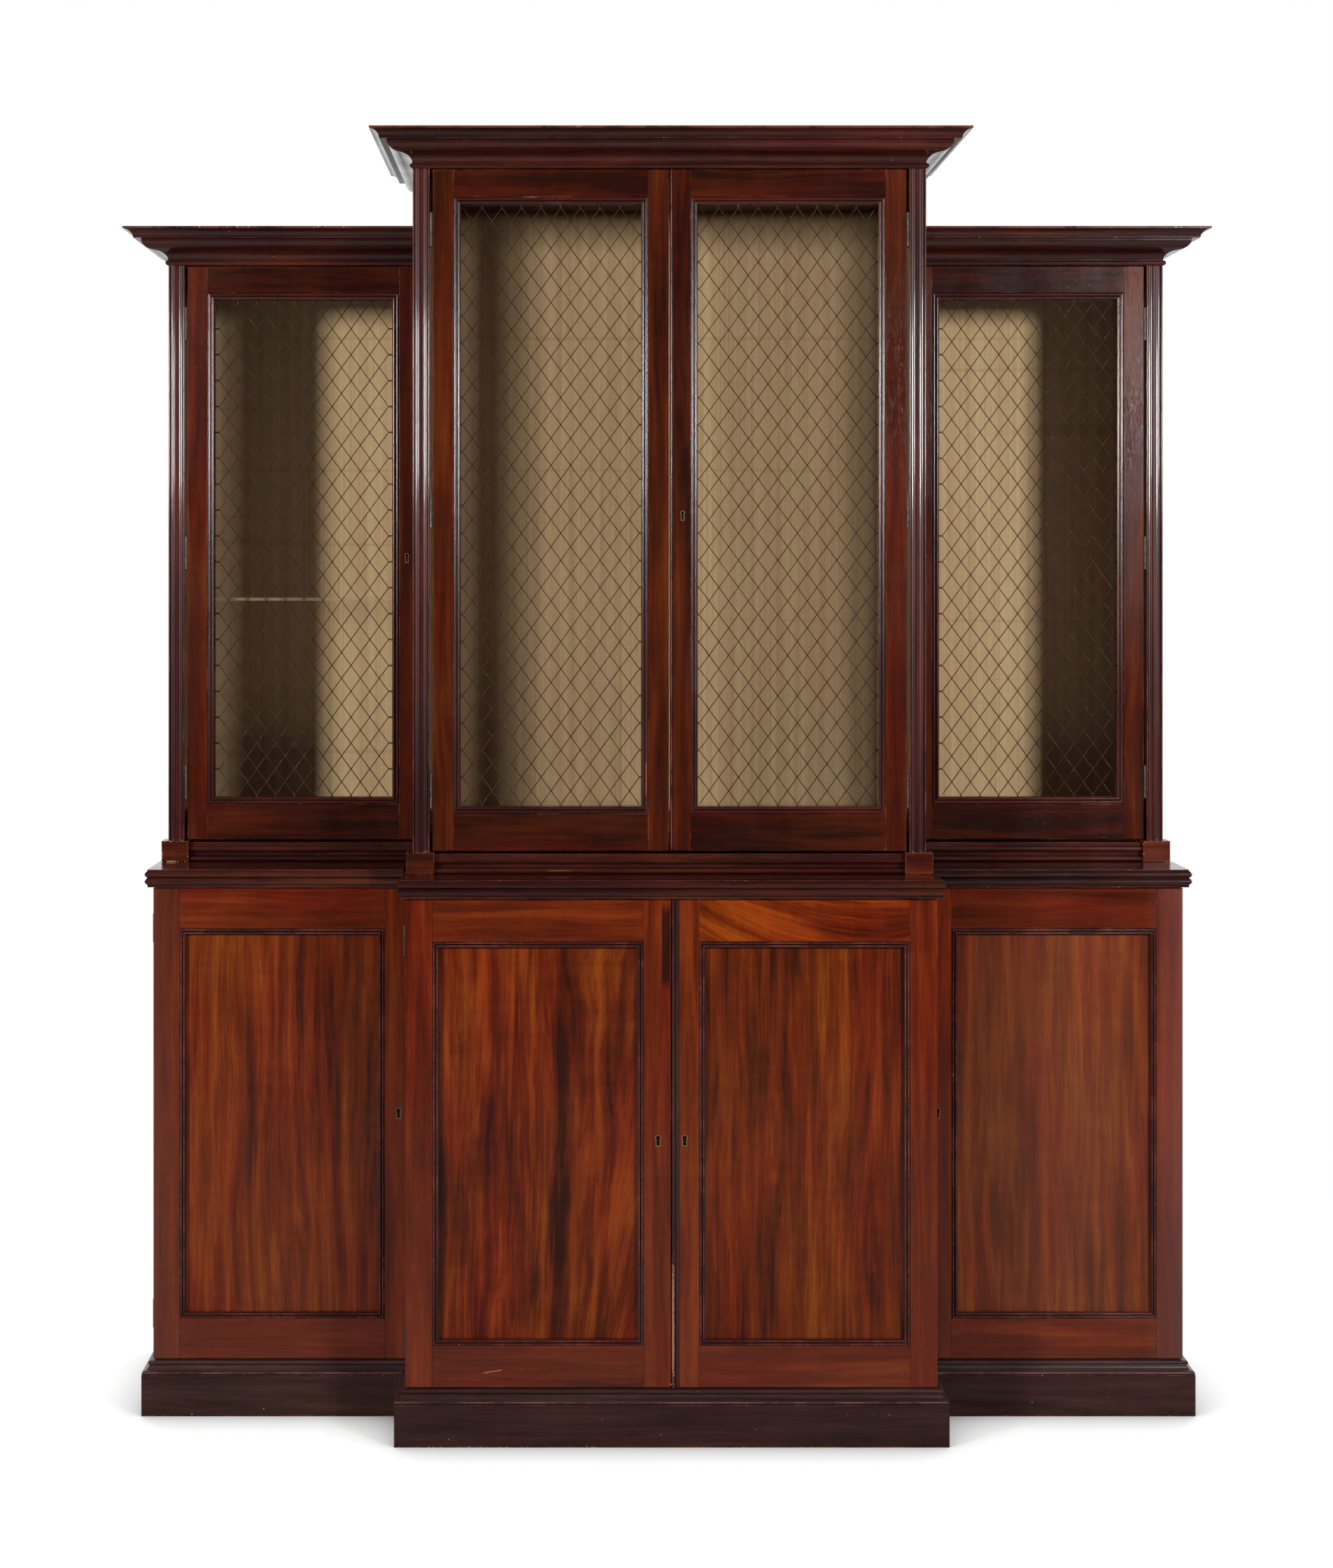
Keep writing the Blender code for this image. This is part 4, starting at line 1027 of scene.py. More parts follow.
@dataclass(frozen=True)
class Mark:
    """A local blemish with ragged ends, or with soft 1 a haze that grows inwards, seen from the front."""

    centre: Pair
    half: Pair
    colour: Triple
    strength: float = 0.85
    ragged: float = 0.5
    lean: float = 0.0
    soft: float = 0.25

    def over(self, w: Writer, place: Val, colour: Val) -> Val:
        """The colour with the mark laid over it.

        Args:
            w: The material's writer.
            place: Where a point is.
            colour: The colour below it.

        Returns:
            The new colour.
        """
        x, _, z = w.split(place)
        x = x - self.centre[0]
        z = x * -self.lean + (z - self.centre[1])
        u, v = (x / self.half[0]).size(), (z / self.half[1]).size()
        reach = (w.noise(place, 320.0, 3, 0.65) - 0.5) * (self.ragged * 3) + w.maths("MAXIMUM", u, v)
        return w.mix(w.spread(reach, 1.0, 1.0 - self.soft, 0.0, self.strength), colour, srgb(self.colour))


@dataclass(frozen=True)
class Polish:
    """A polished wood. Colours are as they show on screen, 0 to 255."""

    name: str
    dark: Triple
    middle: Triple
    light: Triple
    streak: float = 38.0
    contrast: float = 1.0
    warp: Warp | None = None
    marks: tuple[Mark, ...] = ()
    pores: float = 0.35
    hue: float = 1.0
    rough: float = 0.22
    shine: float = 0.3
    coat: float = 0.08
    coat_rough: float = 0.12
    smear: float = 0.45
    wear: float = 0.40
    wear_colour: Triple = (140, 66, 32)
    chips: float = 0.22
    chip_colour: Triple = (205, 170, 135)
    specks: float = 0.5
    # How much hollows are darkened: dirt and painted shade
    dirt: float = 0.75
    dirt_and_shade_colour: Triple = (12, 5, 5)
    bump: float = 0.25

    def material(self) -> bpy.types.Material:
        """The material of this finish.

        Returns:
            The material.
        """
        s = Surface(self.name)
        grain = s.get("ShaderNodeAttribute", attribute_name="grain", output="Vector")
        tone, edge = (
            s.get("ShaderNodeAttribute", attribute_name=name, output="Fac") for name in ("tone", "edge")
        )
        if self.warp:
            grain, tone = self.warp.apply(s, s.place, grain, tone)
        wood = s.group(
            "timber", Grain=grain, Tone=tone,
            Dark=srgb(self.dark), Middle=srgb(self.middle), Light=srgb(self.light),
            Streak=self.streak, Contrast=self.contrast, Pores=self.pores, Hue=self.hue,
        )
        amounts = {"Wear": self.wear, "Chips": self.chips, "Specks": self.specks}
        use = s.group("handling", Edge=edge, Place=s.place, **amounts)
        worn, chip, smear = use["Worn"], use["Chip"], use["Smear"]
        colour = s.mix(worn * 0.7, wood["Color"], srgb(self.wear_colour))
        colour = s.mix(chip, colour, srgb(self.chip_colour))
        # Hollows darkened: dirt and painted shade
        colour = s.mix(use["Dirt"] * self.dirt, colour, srgb(self.dirt_and_shade_colour))
        for mark in self.marks:
            colour = mark.over(s, s.place, colour)
        rough = worn * 0.14 + s.spread(smear, 0.25, 0.75, self.rough - 0.06, self.rough + 0.08)
        coat = s.spread(smear, 0.2, 0.8, self.coat, self.coat * (1 - self.smear)) * (1.0 - chip)
        s.set(Base_Color=colour, Roughness=s.maths("ADD", chip * 0.3, rough, clamp=True))
        s.set(Coat_Weight=coat, Coat_Roughness=self.coat_rough, Specular_IOR_Level=self.shine)
        if self.bump:
            s.set(Normal=s.bump(wood["Height"] * 0.4 + use["Height"], self.bump, 0.0006))
        return s.material


@dataclass(frozen=True)
class Metal:
    """A metal with tarnish in patches."""

    name: str
    bright: Triple
    tarnish: Triple
    rough: float
    metallic: float
    patches: float

    def material(self) -> bpy.types.Material:
        """The material of this finish.

        Returns:
            The material.
        """
        s = Surface(self.name)
        grit = s.noise(s.place, 900.0, 2, 0.6)
        mask = s.spread(grit * 0.3 + s.noise(s.place, self.patches, 4, 0.65), 0.45, 0.85)
        return s.set(
            Base_Color=s.mix(mask, srgb(self.bright), srgb(self.tarnish)),
            Roughness=s.spread(mask, 0, 1, self.rough - 0.1, self.rough + 0.2),
            Metallic=self.metallic,
            Normal=s.bump(grit, 0.2, 0.0002),
        )


@dataclass(frozen=True)
class Glass:
    """Thin clear glass with a faint film of dust, or its ground edge, whose tan colours are painted light
    from the cloth behind.
    """

    name: str
    clean: Triple
    dusty: Triple
    alpha: float
    rough: float

    def material(self) -> bpy.types.Material:
        """The material of this glass.

        Returns:
            The material.
        """
        s = Surface(self.name)
        film = s.spread(s.noise(s.place, 22.0, 4, 0.6), 0.35, 0.75)
        colour = s.mix(film, srgb(self.clean), srgb(self.dusty))
        rough = s.spread(film, 0, 1, self.rough, self.rough + 0.15)
        return s.set(Base_Color=colour, Roughness=rough, Alpha=self.alpha, IOR=1.52)


@dataclass(frozen=True)
class Cloth:
    """The striped lining cloth."""

    name: str
    pale: Triple = (250, 224, 176)
    middle: Triple = (236, 203, 150)
    deep: Triple = (182, 147, 101)
    strength: float = 0.55

    def material(self) -> bpy.types.Material:
        """The material of this cloth.

        Returns:
            The material.
        """
        s = Surface(self.name)
        colours = {"Pale": srgb(self.pale), "Middle": srgb(self.middle), "Deep": srgb(self.deep)}
        weave = s.group("strie", Place=s.place, Strength=self.strength, **colours)
        bump = s.bump(weave["Height"], 0.35, 0.0004)
        return s.set(Base_Color=weave["Color"], Roughness=0.75, Sheen_Weight=0.15, Normal=bump)


FINISHES = (
    Polish("upper_frame_mahogany", (44, 13, 6), (82, 27, 10), (112, 44, 16), contrast=0.9),
    Polish(
        "lower_frame_mahogany", (66, 18, 6), (108, 34, 10), (146, 58, 20), contrast=0.85,
        marks=(
            Mark((-0.0095, 0.895), (0.0085, 0.078), (30, 10, 9), ragged=0.12),
            Mark((-0.3217, 0.130), (0.017, 0.0011), (204, 128, 66), ragged=0.3, lean=0.16),
            Mark((0.0, 0.05), (40.0, 0.60), (122, 76, 66), strength=0.17, ragged=0.05, soft=1.0),
            # Greyish hazes on the outer stiles: painted sheen of the softboxes, together with dust
            Mark((-0.975, 0.5), (0.085, 40.0), (132, 82, 68), strength=0.28, ragged=0.05, soft=1.0),
            Mark((0.975, 0.5), (0.085, 40.0), (120, 90, 86), strength=0.46, ragged=0.05, soft=1.0),
        ),
    ),
    Polish(
        "arched_mahogany", (58, 16, 4), (116, 37, 5), (162, 68, 14), contrast=1.3,
        warp=Warp(Flow.ARCH, (0.36, 0.93), 0.95),
    ),
    Polish(
        "figured_veneer", (62, 20, 6), (116, 41, 10), (154, 70, 20), streak=44.0, contrast=0.98, rough=0.23,
        marks=(
            # Greyish haze over the right wing's panel: painted sheen of the right softbox, together with dust
            Mark((0.74, 0.52), (0.26, 40.0), (132, 86, 66), strength=0.24, ragged=0.05, soft=0.7),
            Mark((-0.72, 0.20), (0.30, 0.40), (122, 70, 54), strength=0.14, ragged=0.05, soft=1.0),
        ),
    ),
    Polish(
        "crown_veneer", (52, 15, 5), (106, 34, 8), (148, 62, 18), streak=50.0, contrast=1.08, rough=0.23,
        warp=Warp(Flow.FAN, (-0.200, 0.19), 2.6),
    ),
    Polish(
        "dark_moulding", (28, 8, 8), (61, 21, 17), (96, 37, 26), contrast=0.9, shine=0.45, coat=0.5,
        coat_rough=0.06, wear=0.6, wear_colour=(126, 62, 44), chips=0.32, specks=0.9, dirt=1.0, bump=0.05,
        marks=(Mark((-0.2027, 1.0215), (0.022, 0.0007), (186, 112, 76), strength=0.5, ragged=0.8),),
    ),
    Polish(
        "door_moulding", (30, 9, 9), (62, 20, 17), (94, 32, 26), contrast=0.8, rough=0.24, shine=0.5,
        coat=0.5, coat_rough=0.16, smear=0.0, wear=0.5, wear_colour=(132, 66, 56), chips=0.28, specks=0.7,
        bump=0.0,
        marks=(
            Mark((-0.043, 1.190), (0.0011, 0.032), (176, 84, 44), ragged=0.3),
            Mark((-0.2597, 2.2588), (0.018, 0.0010), (206, 176, 166), strength=0.8, ragged=0.9),
            Mark((-0.0544, 0.2456), (0.0055, 0.082), (58, 38, 36), strength=0.7, ragged=0.05),
            Mark((0.0018, 0.216), (0.0034, 0.108), (176, 124, 96), strength=1.0, ragged=0.6),
        ),
    ),
    Polish(
        "reeded_mahogany", (36, 10, 10), (66, 20, 18), (96, 34, 28), contrast=0.9, rough=0.32, coat=0.9,
        coat_rough=0.08, smear=0.0, wear=0.45, wear_colour=(130, 58, 48), chips=0.25, specks=0.7, bump=0.0,
    ),
    Polish(
        "plinth_stain", (32, 16, 15), (58, 33, 31), (80, 48, 42), streak=60.0, contrast=0.7, hue=0.35,
        rough=0.36, coat=0.05, wear=0.6, wear_colour=(132, 88, 62), chips=0.40, specks=1.4,
    ),
    Polish(
        "plinth_moulding", (36, 20, 20), (68, 42, 42), (92, 62, 58), contrast=0.7, hue=0.3, rough=0.3,
        coat=0.1, wear=0.75, wear_colour=(128, 86, 78), chips=0.3, specks=1.0, dirt=1.0,
    ),
    Polish(
        "block_mahogany", (42, 13, 8), (80, 27, 16), (116, 48, 22), contrast=1.1, hue=0.5, wear=0.5,
        wear_colour=(130, 66, 42), chips=0.42,
    ),
    Polish(
        "inner_timber", (44, 25, 14), (72, 44, 26), (98, 64, 38), contrast=0.9, hue=0.3, rough=0.6, coat=0.0,
        wear=0.3, wear_colour=(120, 86, 56), chips=0.1, specks=0.3,
    ),
    Polish(
        "back_timber", (62, 40, 25), (98, 66, 43), (128, 92, 62), streak=24.0, contrast=1.3, hue=0.25,
        rough=0.75, coat=0.0, wear=0.5, wear_colour=(150, 118, 86), chips=0.2, specks=0.6,
    ),
    Metal("bronzed_wire", (98, 69, 56), (38, 24, 19), 0.42, 0.7, 160.0),
    Metal("dull_brass", (112, 102, 92), (70, 62, 54), 0.5, 0.85, 140.0),
    Metal("aged_brass", (176, 140, 76), (92, 70, 40), 0.36, 1.0, 90.0),
    Metal("pale_brass", (190, 156, 98), (126, 98, 62), 0.35, 0.45, 200.0),
    Metal("screw_steel", (120, 112, 100), (66, 58, 50), 0.4, 1.0, 200.0),
    Glass("shelf_glass", (206, 224, 212), (226, 226, 216), 0.07, 0.04),
    # The ground edge's tan colours stand for the lit cloth seen through the glass: painted light
    Glass("ground_glass", (236, 206, 160), (228, 192, 142), 0.26, 0.25),
    Cloth("lining_cloth"),
)


class Materials:
    """Every material, made on first use."""

    recipes = {finish.name: finish for finish in FINISHES}
    ready: dict[str, bpy.types.Material] = {}

    @classmethod
    def get(cls, name: str) -> bpy.types.Material:
        """The material of that name.

        Args:
            name: A finish's name.

        Returns:
            Its material.
        """
        if name not in cls.ready:
            cls.ready[name] = cls.recipes[name].material()
        return cls.ready[name]


# Layout


@dataclass(frozen=True)
class Bay:
    """One of the three sections of a stage, seen in plan, with the top of its doors' zone."""

    name: str
    left: float
    right: float
    face: float
    top: float
    left_free: bool
    right_free: bool


def bays(centre: float, total: float, middle: Pair, wing: Pair) -> tuple[Bay, Bay, Bay]:
    """The bays of a stage, from left to right.

    Args:
        centre: Half the width of its middle.
        total: Half its whole width.
        middle: Its middle's face and top.
        wing: Its wings' face and top.

    Returns:
        The three bays.
    """
    return (
        Bay("left", -total, -centre - SEAT, *wing, True, False),
        Bay("centre", -centre, centre, *middle, True, True),
        Bay("right", centre + SEAT, total, *wing, False, True),
    )


@dataclass(frozen=True)
class Layout:
    """The planes and heights that the pieces share, in metres."""

    back: float = 0.2695
    plinth_top: float = 0.099
    waist_bottom: float = 0.982
    waist_top: float = 1.015
    foot_top: float = 1.0555
    half_centre: float = 0.479
    half_total: float = 0.961
    half_upper_centre: float = 0.472
    half_upper_total: float = 0.954
    lower_centre_face: float = -0.2505
    lower_wing_face: float = -0.0945
    upper_centre_face: float = -0.164
    upper_wing_face: float = 0.025
    centre_cornice: float = 2.311
    wing_cornice: float = 2.158
    board: float = 0.018
    back_thickness: float = 0.009

    def lower(self) -> tuple[Bay, ...]:
        """The three cupboards.

        Returns:
            The left, middle and right one.
        """
        middle = (self.lower_centre_face, self.waist_bottom)
        wing = (self.lower_wing_face, self.waist_bottom)
        return bays(self.half_centre, self.half_total, middle, wing)

    def upper(self) -> tuple[Bay, ...]:
        """The three bookcases.

        Returns:
            The left, middle and right one.
        """
        middle = (self.upper_centre_face, self.centre_cornice)
        wing = (self.upper_wing_face, self.wing_cornice)
        return bays(self.half_upper_centre, self.half_upper_total, middle, wing)


@dataclass
class Plinth:
    """Boards with a moulded top edge, mitred round the front, with a back rail and two bearers."""

    layout: Layout
    projection: float = 0.019
    moulding: float = 0.022
    inner: float = 0.003
    bead: float = 0.007
    rail: float = 0.020

    def outline(self) -> list[Pair]:
        """A plain board, a quirk, a small bead, a hollow and a top bead.

        Returns:
            The outline, as (out, height) points.
        """
        height, out, bead = self.layout.plinth_top, self.projection, self.bead / 2
        foot, hollow = height - self.moulding, out - 0.0038
        depth = (hollow - self.inner - bead, self.moulding - self.bead - 0.0058)
        outline = [(-self.rail, 0), (out, 0), (out, foot - 0.0010), (out - 0.0014, foot - 0.0002)]
        outline += arc((out - 0.0027, foot + 0.0024), (0.0024, 0.0024), -55, 80)
        outline += arc((hollow, height - self.bead), depth, -90, -176)
        outline += arc((self.inner + bead / 2, height - bead), (bead, bead), -70, 90)
        return [*outline, (-self.rail, height)]

    def build(self) -> None:
        """Makes the plinth."""
        at, rail = self.layout, self.rail
        half = [
            (at.half_centre, at.lower_centre_face),
            (at.half_centre, at.lower_wing_face),
            (at.half_total, at.lower_wing_face),
            (at.half_total, at.back),
        ]
        solid = Solid("plinth_boards")
        solid.path(Section(self.outline(), ease=0.0009), [(-x, y) for x, y in half[::-1]] + half)
        solid.repaint(2, Axis.Z, at.plinth_top - self.moulding - 0.0005)
        side = at.half_total - rail - SEAT
        solid.board((-side, at.back - rail, 0), (side, at.back, at.plinth_top), Axis.X, 1)
        for x in (-at.half_centre, at.half_centre):
            low = (x - rail, at.lower_wing_face + rail + SEAT, 0)
            solid.board(low, (x + rail, at.back - rail - SEAT, at.plinth_top), Axis.Y, 1)
        finishes = ("plinth_stain", "inner_timber", "plinth_moulding")
        solid.finish(finishes, "carcass", ["plinth"], "dark_mahogany")


def bolt_pocket(node: str, side: int, depth: float) -> Recess:
    """A mortise for a lock's bolt.

    Args:
        node: The bolt's CAD node.
        side: 1 in a face that looks to the right, -1 in one that looks to the left.
        depth: How deep it is.

    Returns:
        The recess.
    """
    low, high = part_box(node)
    near, far, foot, top = low.y - SEAT, high.y + SEAT, low.z - SEAT, high.z + SEAT
    return Recess(0, side, [(near, foot), (far, foot), (far, top), (near, top)], depth)


@dataclass
class Case:
    """What a cupboard and a bookcase share: sides with boards between them, and a planked back."""

    layout: Layout
    bay: Bay

    def sides(
        self, solid: Solid, stage: str, front: float, low: float, high: float, tone: float | None = None
    ) -> Pair:
        """Adds both sides, with strikes for the wing doors' bolts in those of the middle case.

        Args:
            solid: What they are added to.
            stage: The stage that the case is in.
            front: Their front edge.
            low: Their foot.
            high: Their top.
            tone: How they differ from their neighbours, from -1 to 1.

        Returns:
            Where the boards between them begin and end.
        """
        bay, board = self.bay, self.layout.board
        for name, way, x in (("left", -1, bay.left), ("right", 1, bay.right - board)):
            bolt = f"lock_bolt_{stage}_{name}"
            strikes = [bolt_pocket(bolt, way, STRIKE_DEPTH)] if bay.name == "centre" else []
            low_corner, high_corner = (x, front, low), (x + board, self.layout.back, high)
            solid.board(low_corner, high_corner, Axis.Z, recesses=strikes, tone=tone)
        return bay.left + board + SKIN, bay.right - board - SKIN

    def planks(self, solid: Solid, ends: Pair, low: float, high: float, count: int) -> None:
        """Adds the upright boards of the back, side by side.

        Args:
            solid: What they are added to.
            ends: Where the first begins and the last ends.
            low: Their foot.
            high: Their top.
            count: How many there are.
        """
        back, share = self.layout.back, (ends[1] - ends[0]) / count
        for k in range(count):
            x = ends[0] + share * k
            front = back - self.layout.back_thickness + SKIN
            solid.board((x, front, low), (x + share - SKIN, back, high), Axis.Z, 2, ease=0.0010)


@dataclass
class BaseCase(Case):
    """A cupboard carcass: sides, floor, top, one shelf and a planked back."""

    front_gap: float = 0.0236
    shelf_share: float = 0.52
    shelf_setback: float = 0.030

    def build(self) -> None:
        """Makes the carcass."""
        at, bay, board = self.layout, self.bay, self.layout.board
        low, high = at.plinth_top + SEAT, at.waist_bottom - SEAT
        front, inner_back = bay.face + self.front_gap, at.back - at.back_thickness
        solid = Solid(f"base_case_{bay.name}_boards")
        left, right = self.sides(solid, "lower", front, low, high)
        shelf = low + (high - low - 2 * board) * self.shelf_share
        for start, foot in ((front, low), (front, high - board), (front + self.shelf_setback, shelf)):
            solid.board((left, start, foot), (right, inner_back, foot + board), Axis.X, 1)
        self.planks(solid, (left, right), low, high, 6 if bay.name == "centre" else 3)
        finishes = ("lower_frame_mahogany", "inner_timber", "back_timber")
        solid.finish(finishes, "carcass", [f"base_case_{bay.name}"], "carcass_wood")


@dataclass
class WaistBoard:
    """A board with a double-reeded edge on its free sides."""

    layout: Layout
    bay: Bay
    overhang: float = 0.014
    fillet: float = 0.0045
    rise: float = 0.0045

    def build(self) -> None:
        """Makes the board."""
        at, bay = self.layout, self.bay
        thick = at.waist_top - at.waist_bottom
        root = self.overhang - self.rise
        run = reeds(self.fillet, thick - self.fillet / 2, 2, self.rise)
        section = [(root, 0.0)] + [(root + rise, height) for height, rise in run] + [(root, thick)]
        left = bay.left if bay.left_free else bay.left + self.overhang
        right = bay.right if bay.right_free else bay.right - self.overhang
        corners = [(left, at.back), (left, bay.face), (right, bay.face), (right, at.back)]
        solid = Solid(f"waist_board_{bay.name}_top")
        solid.slab(corners, [bay.left_free, True, bay.right_free, False], section, at.waist_bottom)
        solid.finish(["dark_moulding"], "carcass", [f"waist_board_{bay.name}"], "mahogany")


@dataclass
class UpperCase(Case):
    """A bookcase carcass with the moulding under its doors and the cloth on its back."""

    front_gap: float = 0.0235
    floor_rise: float = 0.034
    ceiling_drop: float = 0.0145
    top_rise: float = 0.059
    foot_height: float = 0.036
    block: float = 0.0404

    def foot_section(self) -> Section:
        """The foot moulding: a torus, a hollow, a bead and a fillet.

        Returns:
            The section, as (out, height) points.
        """
        high, root = self.foot_height, -0.002
        torus, bead = 0.28 * high / 2, 0.32 * high / 2
        middle = 0.50 * high + bead
        outline = [(-self.front_gap, 0.0)]
        outline += arc((root, torus), (0.007, torus), -90, 90, 12)
        outline += [(root - 0.002, 2 * torus + 0.0012), (root - 0.002, 0.50 * high - 0.0012)]
        outline += arc((root, middle), (0.005, bead), -90, 90, 12)
        outline += [(root + 0.0025, middle + bead), (root + 0.0025, high), (-self.front_gap, high)]
        return Section(outline)

    def build(self) -> None:
        """Makes the carcass and its lining."""
        at, bay, board = self.layout, self.bay, self.layout.board
        low, high = at.waist_top + SEAT, bay.top + self.top_rise
        front, inner_back = bay.face + self.front_gap, at.back - at.back_thickness
        floor, ceiling = at.foot_top + self.floor_rise, bay.top - self.ceiling_drop
        solid = Solid(f"upper_case_{bay.name}_boards")
        left, right = self.sides(solid, "upper", front, low, high, 0.0)
        for foot in (floor - board, ceiling):
            solid.board((left, front, foot), (right, inner_back, foot + board), Axis.X, 1)
        for foot, top in ((low, floor - board - SKIN), (ceiling + board + SKIN, high)):
            solid.board((left, front, foot), (right, front + board, top), Axis.X)
        self.planks(solid, (left, right), low, high, 5 if bay.name == "centre" else 3)
        start, end = bay.left + self.block * bay.left_free, bay.right - self.block * bay.right_free
        solid.run(self.foot_section(), (start, bay.face, low), RIGHT, FRONT, UP, end - start, slot=3)
        finishes = ("upper_frame_mahogany", "inner_timber", "back_timber", "dark_moulding")
        solid.finish(finishes, "carcass", [f"upper_case_{bay.name}"], "carcass_wood")
        self.line((left + SEAT, floor + SEAT), (right - SEAT, ceiling - SEAT), inner_back)

    def line(self, low: Pair, high: Pair, depth: float, columns: int = 30, rows: int = 60) -> None:
        """Stretches the cloth over the back.

        Args:
            low: Its lower left corner in x and z.
            high: Its upper right corner.
            depth: Inner face of the back.
            columns: How many meshes it has across.
            rows: How many it has in height.
        """
        name = f"lining_{self.bay.name}"
        dice = random.Random(name)
        waves = [(dice.uniform(4, 14), dice.uniform(1, 5), dice.uniform(0, 6)) for _ in range(4)]
        flat = (high[0] - low[0], high[1] - low[1])
        points, faces = [], []
        for j, i in product(range(rows + 1), range(columns + 1)):
            u, v = i / columns, j / rows
            slack = sum(math.sin(a * u + b * v + c) for a, b, c in waves) * 0.00016 * math.sin(math.pi * u)
            points.append((low[0] + flat[0] * u, depth - 0.0009 - abs(slack), low[1] + flat[1] * v))
            if i < columns and j < rows:
                a = len(points) - 1
                faces.append((a, a + 1, a + columns + 2, a + columns + 1))
        mesh = bpy.data.meshes.new(name)
        mesh.from_pydata(points, [], faces)
        mesh.shade_smooth()
        mesh.materials.append(Materials.get("lining_cloth"))
        obj = placed(name, mesh, "carcass", ())
        thick = obj.modifiers.new("thickness", "SOLIDIFY")
        thick.thickness = 0.0005
        thick.offset = -1


@dataclass
class LooseShelf:
    """The glass shelf in the left bookcase, which shows by its ground front edge."""

    ease: float = 0.0006

    def build(self) -> None:
        """Makes the shelf in the place of its CAD node."""
        low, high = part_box("shelf_upper_left")
        solid = Solid("shelf_upper_left_glass")
        solid.board(low, high, Axis.X, ease=self.ease)
        solid.repaint(1, Axis.Y, -math.inf, low.y + self.ease * 1.1)
        solid.finish(("shelf_glass", "ground_glass"), "carcass", ["shelf_upper_left"], "shelf_glass")


@dataclass
class Cornice:
    """A cornice on a frieze board, mitred round the free sides of its bookcase."""

    layout: Layout
    bay: Bay
    height: float = 0.065
    projection: float = 0.074
    fillet: float = 0.004
    front_gap: float = 0.0235

    def section(self, inner: float) -> Section:
        """A fillet over a cyma, a step, an ovolo, a deep cove and a bead, closed at out inner.

        Args:
            inner: Where it is closed behind.

        Returns:
            The section, as (out, height) points.
        """
        out, high = self.projection, self.height
        bead = high * 0.075
        step, ovolo_foot = high * 0.70, high * 0.42
        points = [(out, high)]
        points += arc((out, step), (out * 0.23, high - self.fillet - step), 90, 180, 10)
        points += arc((out * 0.33, step), (out * 0.27, step - ovolo_foot), 0, -90, 10)
        points += arc((out * 0.33, 2 * bead), (out * 0.33, ovolo_foot - 2 * bead), 95, 180, 10)
        points += arc((0, bead), (bead, bead), 80, -70, 8)
        return Section(points + [(inner, 0.0), (inner, high)], margin=0.0018)

    def build(self) -> None:
        """Makes the front length, the frieze board and a return at each free side."""
        at, bay, level = self.layout, self.bay, self.bay.top
        solid = Solid(f"cornice_{bay.name}_moulding")
        ends = (float(bay.left_free), float(bay.right_free))
        start, side, depth = (bay.left, bay.face, level), self.section(SEAT), at.back - bay.face
        solid.run(self.section(SKIN), start, RIGHT, FRONT, UP, bay.right - bay.left, ends)
        back = bay.face + self.front_gap - SEAT
        solid.board(start, (bay.right, back, level + self.height), Axis.X, ease=0.0004)
        if bay.left_free:
            solid.run(side, (bay.left, at.back, level), FRONT, LEFT, UP, depth, (0, 1))
        if bay.right_free:
            solid.run(side, (bay.right, bay.face, level), BACK, RIGHT, UP, depth, (1, 0))
        solid.finish(["dark_moulding"], "carcass", [f"cornice_{bay.name}"], "dark_mahogany")


@dataclass
class Pilaster:
    """A shaft with two reeds, on a square block."""

    name: str
    layout: Layout
    bay: Bay
    edge: float
    sign: int
    width: float = 0.031
    fillet: float = 0.003
    groove: float = 0.004
    rise: float = 0.003
    block_out: float = 0.0115
    block_in: float = 0.0401
    front_gap: float = 0.0235

    def section(self) -> Section:
        """The shaft's plan as (across, out) points, from its outer edge inwards.

        Returns:
            The section.
        """
        middle, groove, bead = self.width / 2, self.groove / 2, self.fillet / 2
        back, level = SEAT - self.front_gap, -bead - 0.0003
        points = [(0.0, back)] + arc((bead, level), (bead, bead), 180, 20, 6)
        for start, end in ((self.fillet, middle - groove), (middle + groove, self.width - self.fillet)):
            points += [(across, h - self.rise) for across, h in reeds(start, end, 1, self.rise, 12)]
        points += arc((self.width - bead, level), (bead, bead), 160, 0, 6)
        return Section(points + [(self.width, back)], ease=0.0003, margin=0.0015)

    def build(self) -> None:
        """Makes the shaft and the block."""
        at, bay, sign = self.layout, self.bay, self.sign
        low, block_top = at.waist_top + SEAT, at.foot_top - SEAT
        solid = Solid(f"{self.name}_shaft_and_block")
        foot = block_top + SKIN
        solid.run(self.section(), (self.edge, bay.face, foot), UP, RIGHT * sign, FRONT, bay.top - SEAT - foot)
        left, right = sorted((self.edge - sign * (self.block_out - SEAT), self.edge + sign * self.block_in))
        front, back = bay.face - self.block_out, bay.face + self.front_gap - SEAT
        solid.board((left, front, low), (right, back, block_top), Axis.X, 1, ease=0.0009)
        solid.finish(("reeded_mahogany", "block_mahogany"), "carcass", [self.name], "mahogany")


# Doors


@dataclass(frozen=True)
class DoorKind:
    """What the doors of one stage share."""

    stage: str
    stile: float
    top_rail: float
    bottom_rail: float
    moulding: float
    infill: float
    finish: str
    slot: str
    barrel: float
    axis_out: float
    axis_depth: float
    hinge_length: float
    hinge_inset: float
    hinge_names: tuple[str, ...]
    rail_tone: float
    keyhole: Triple


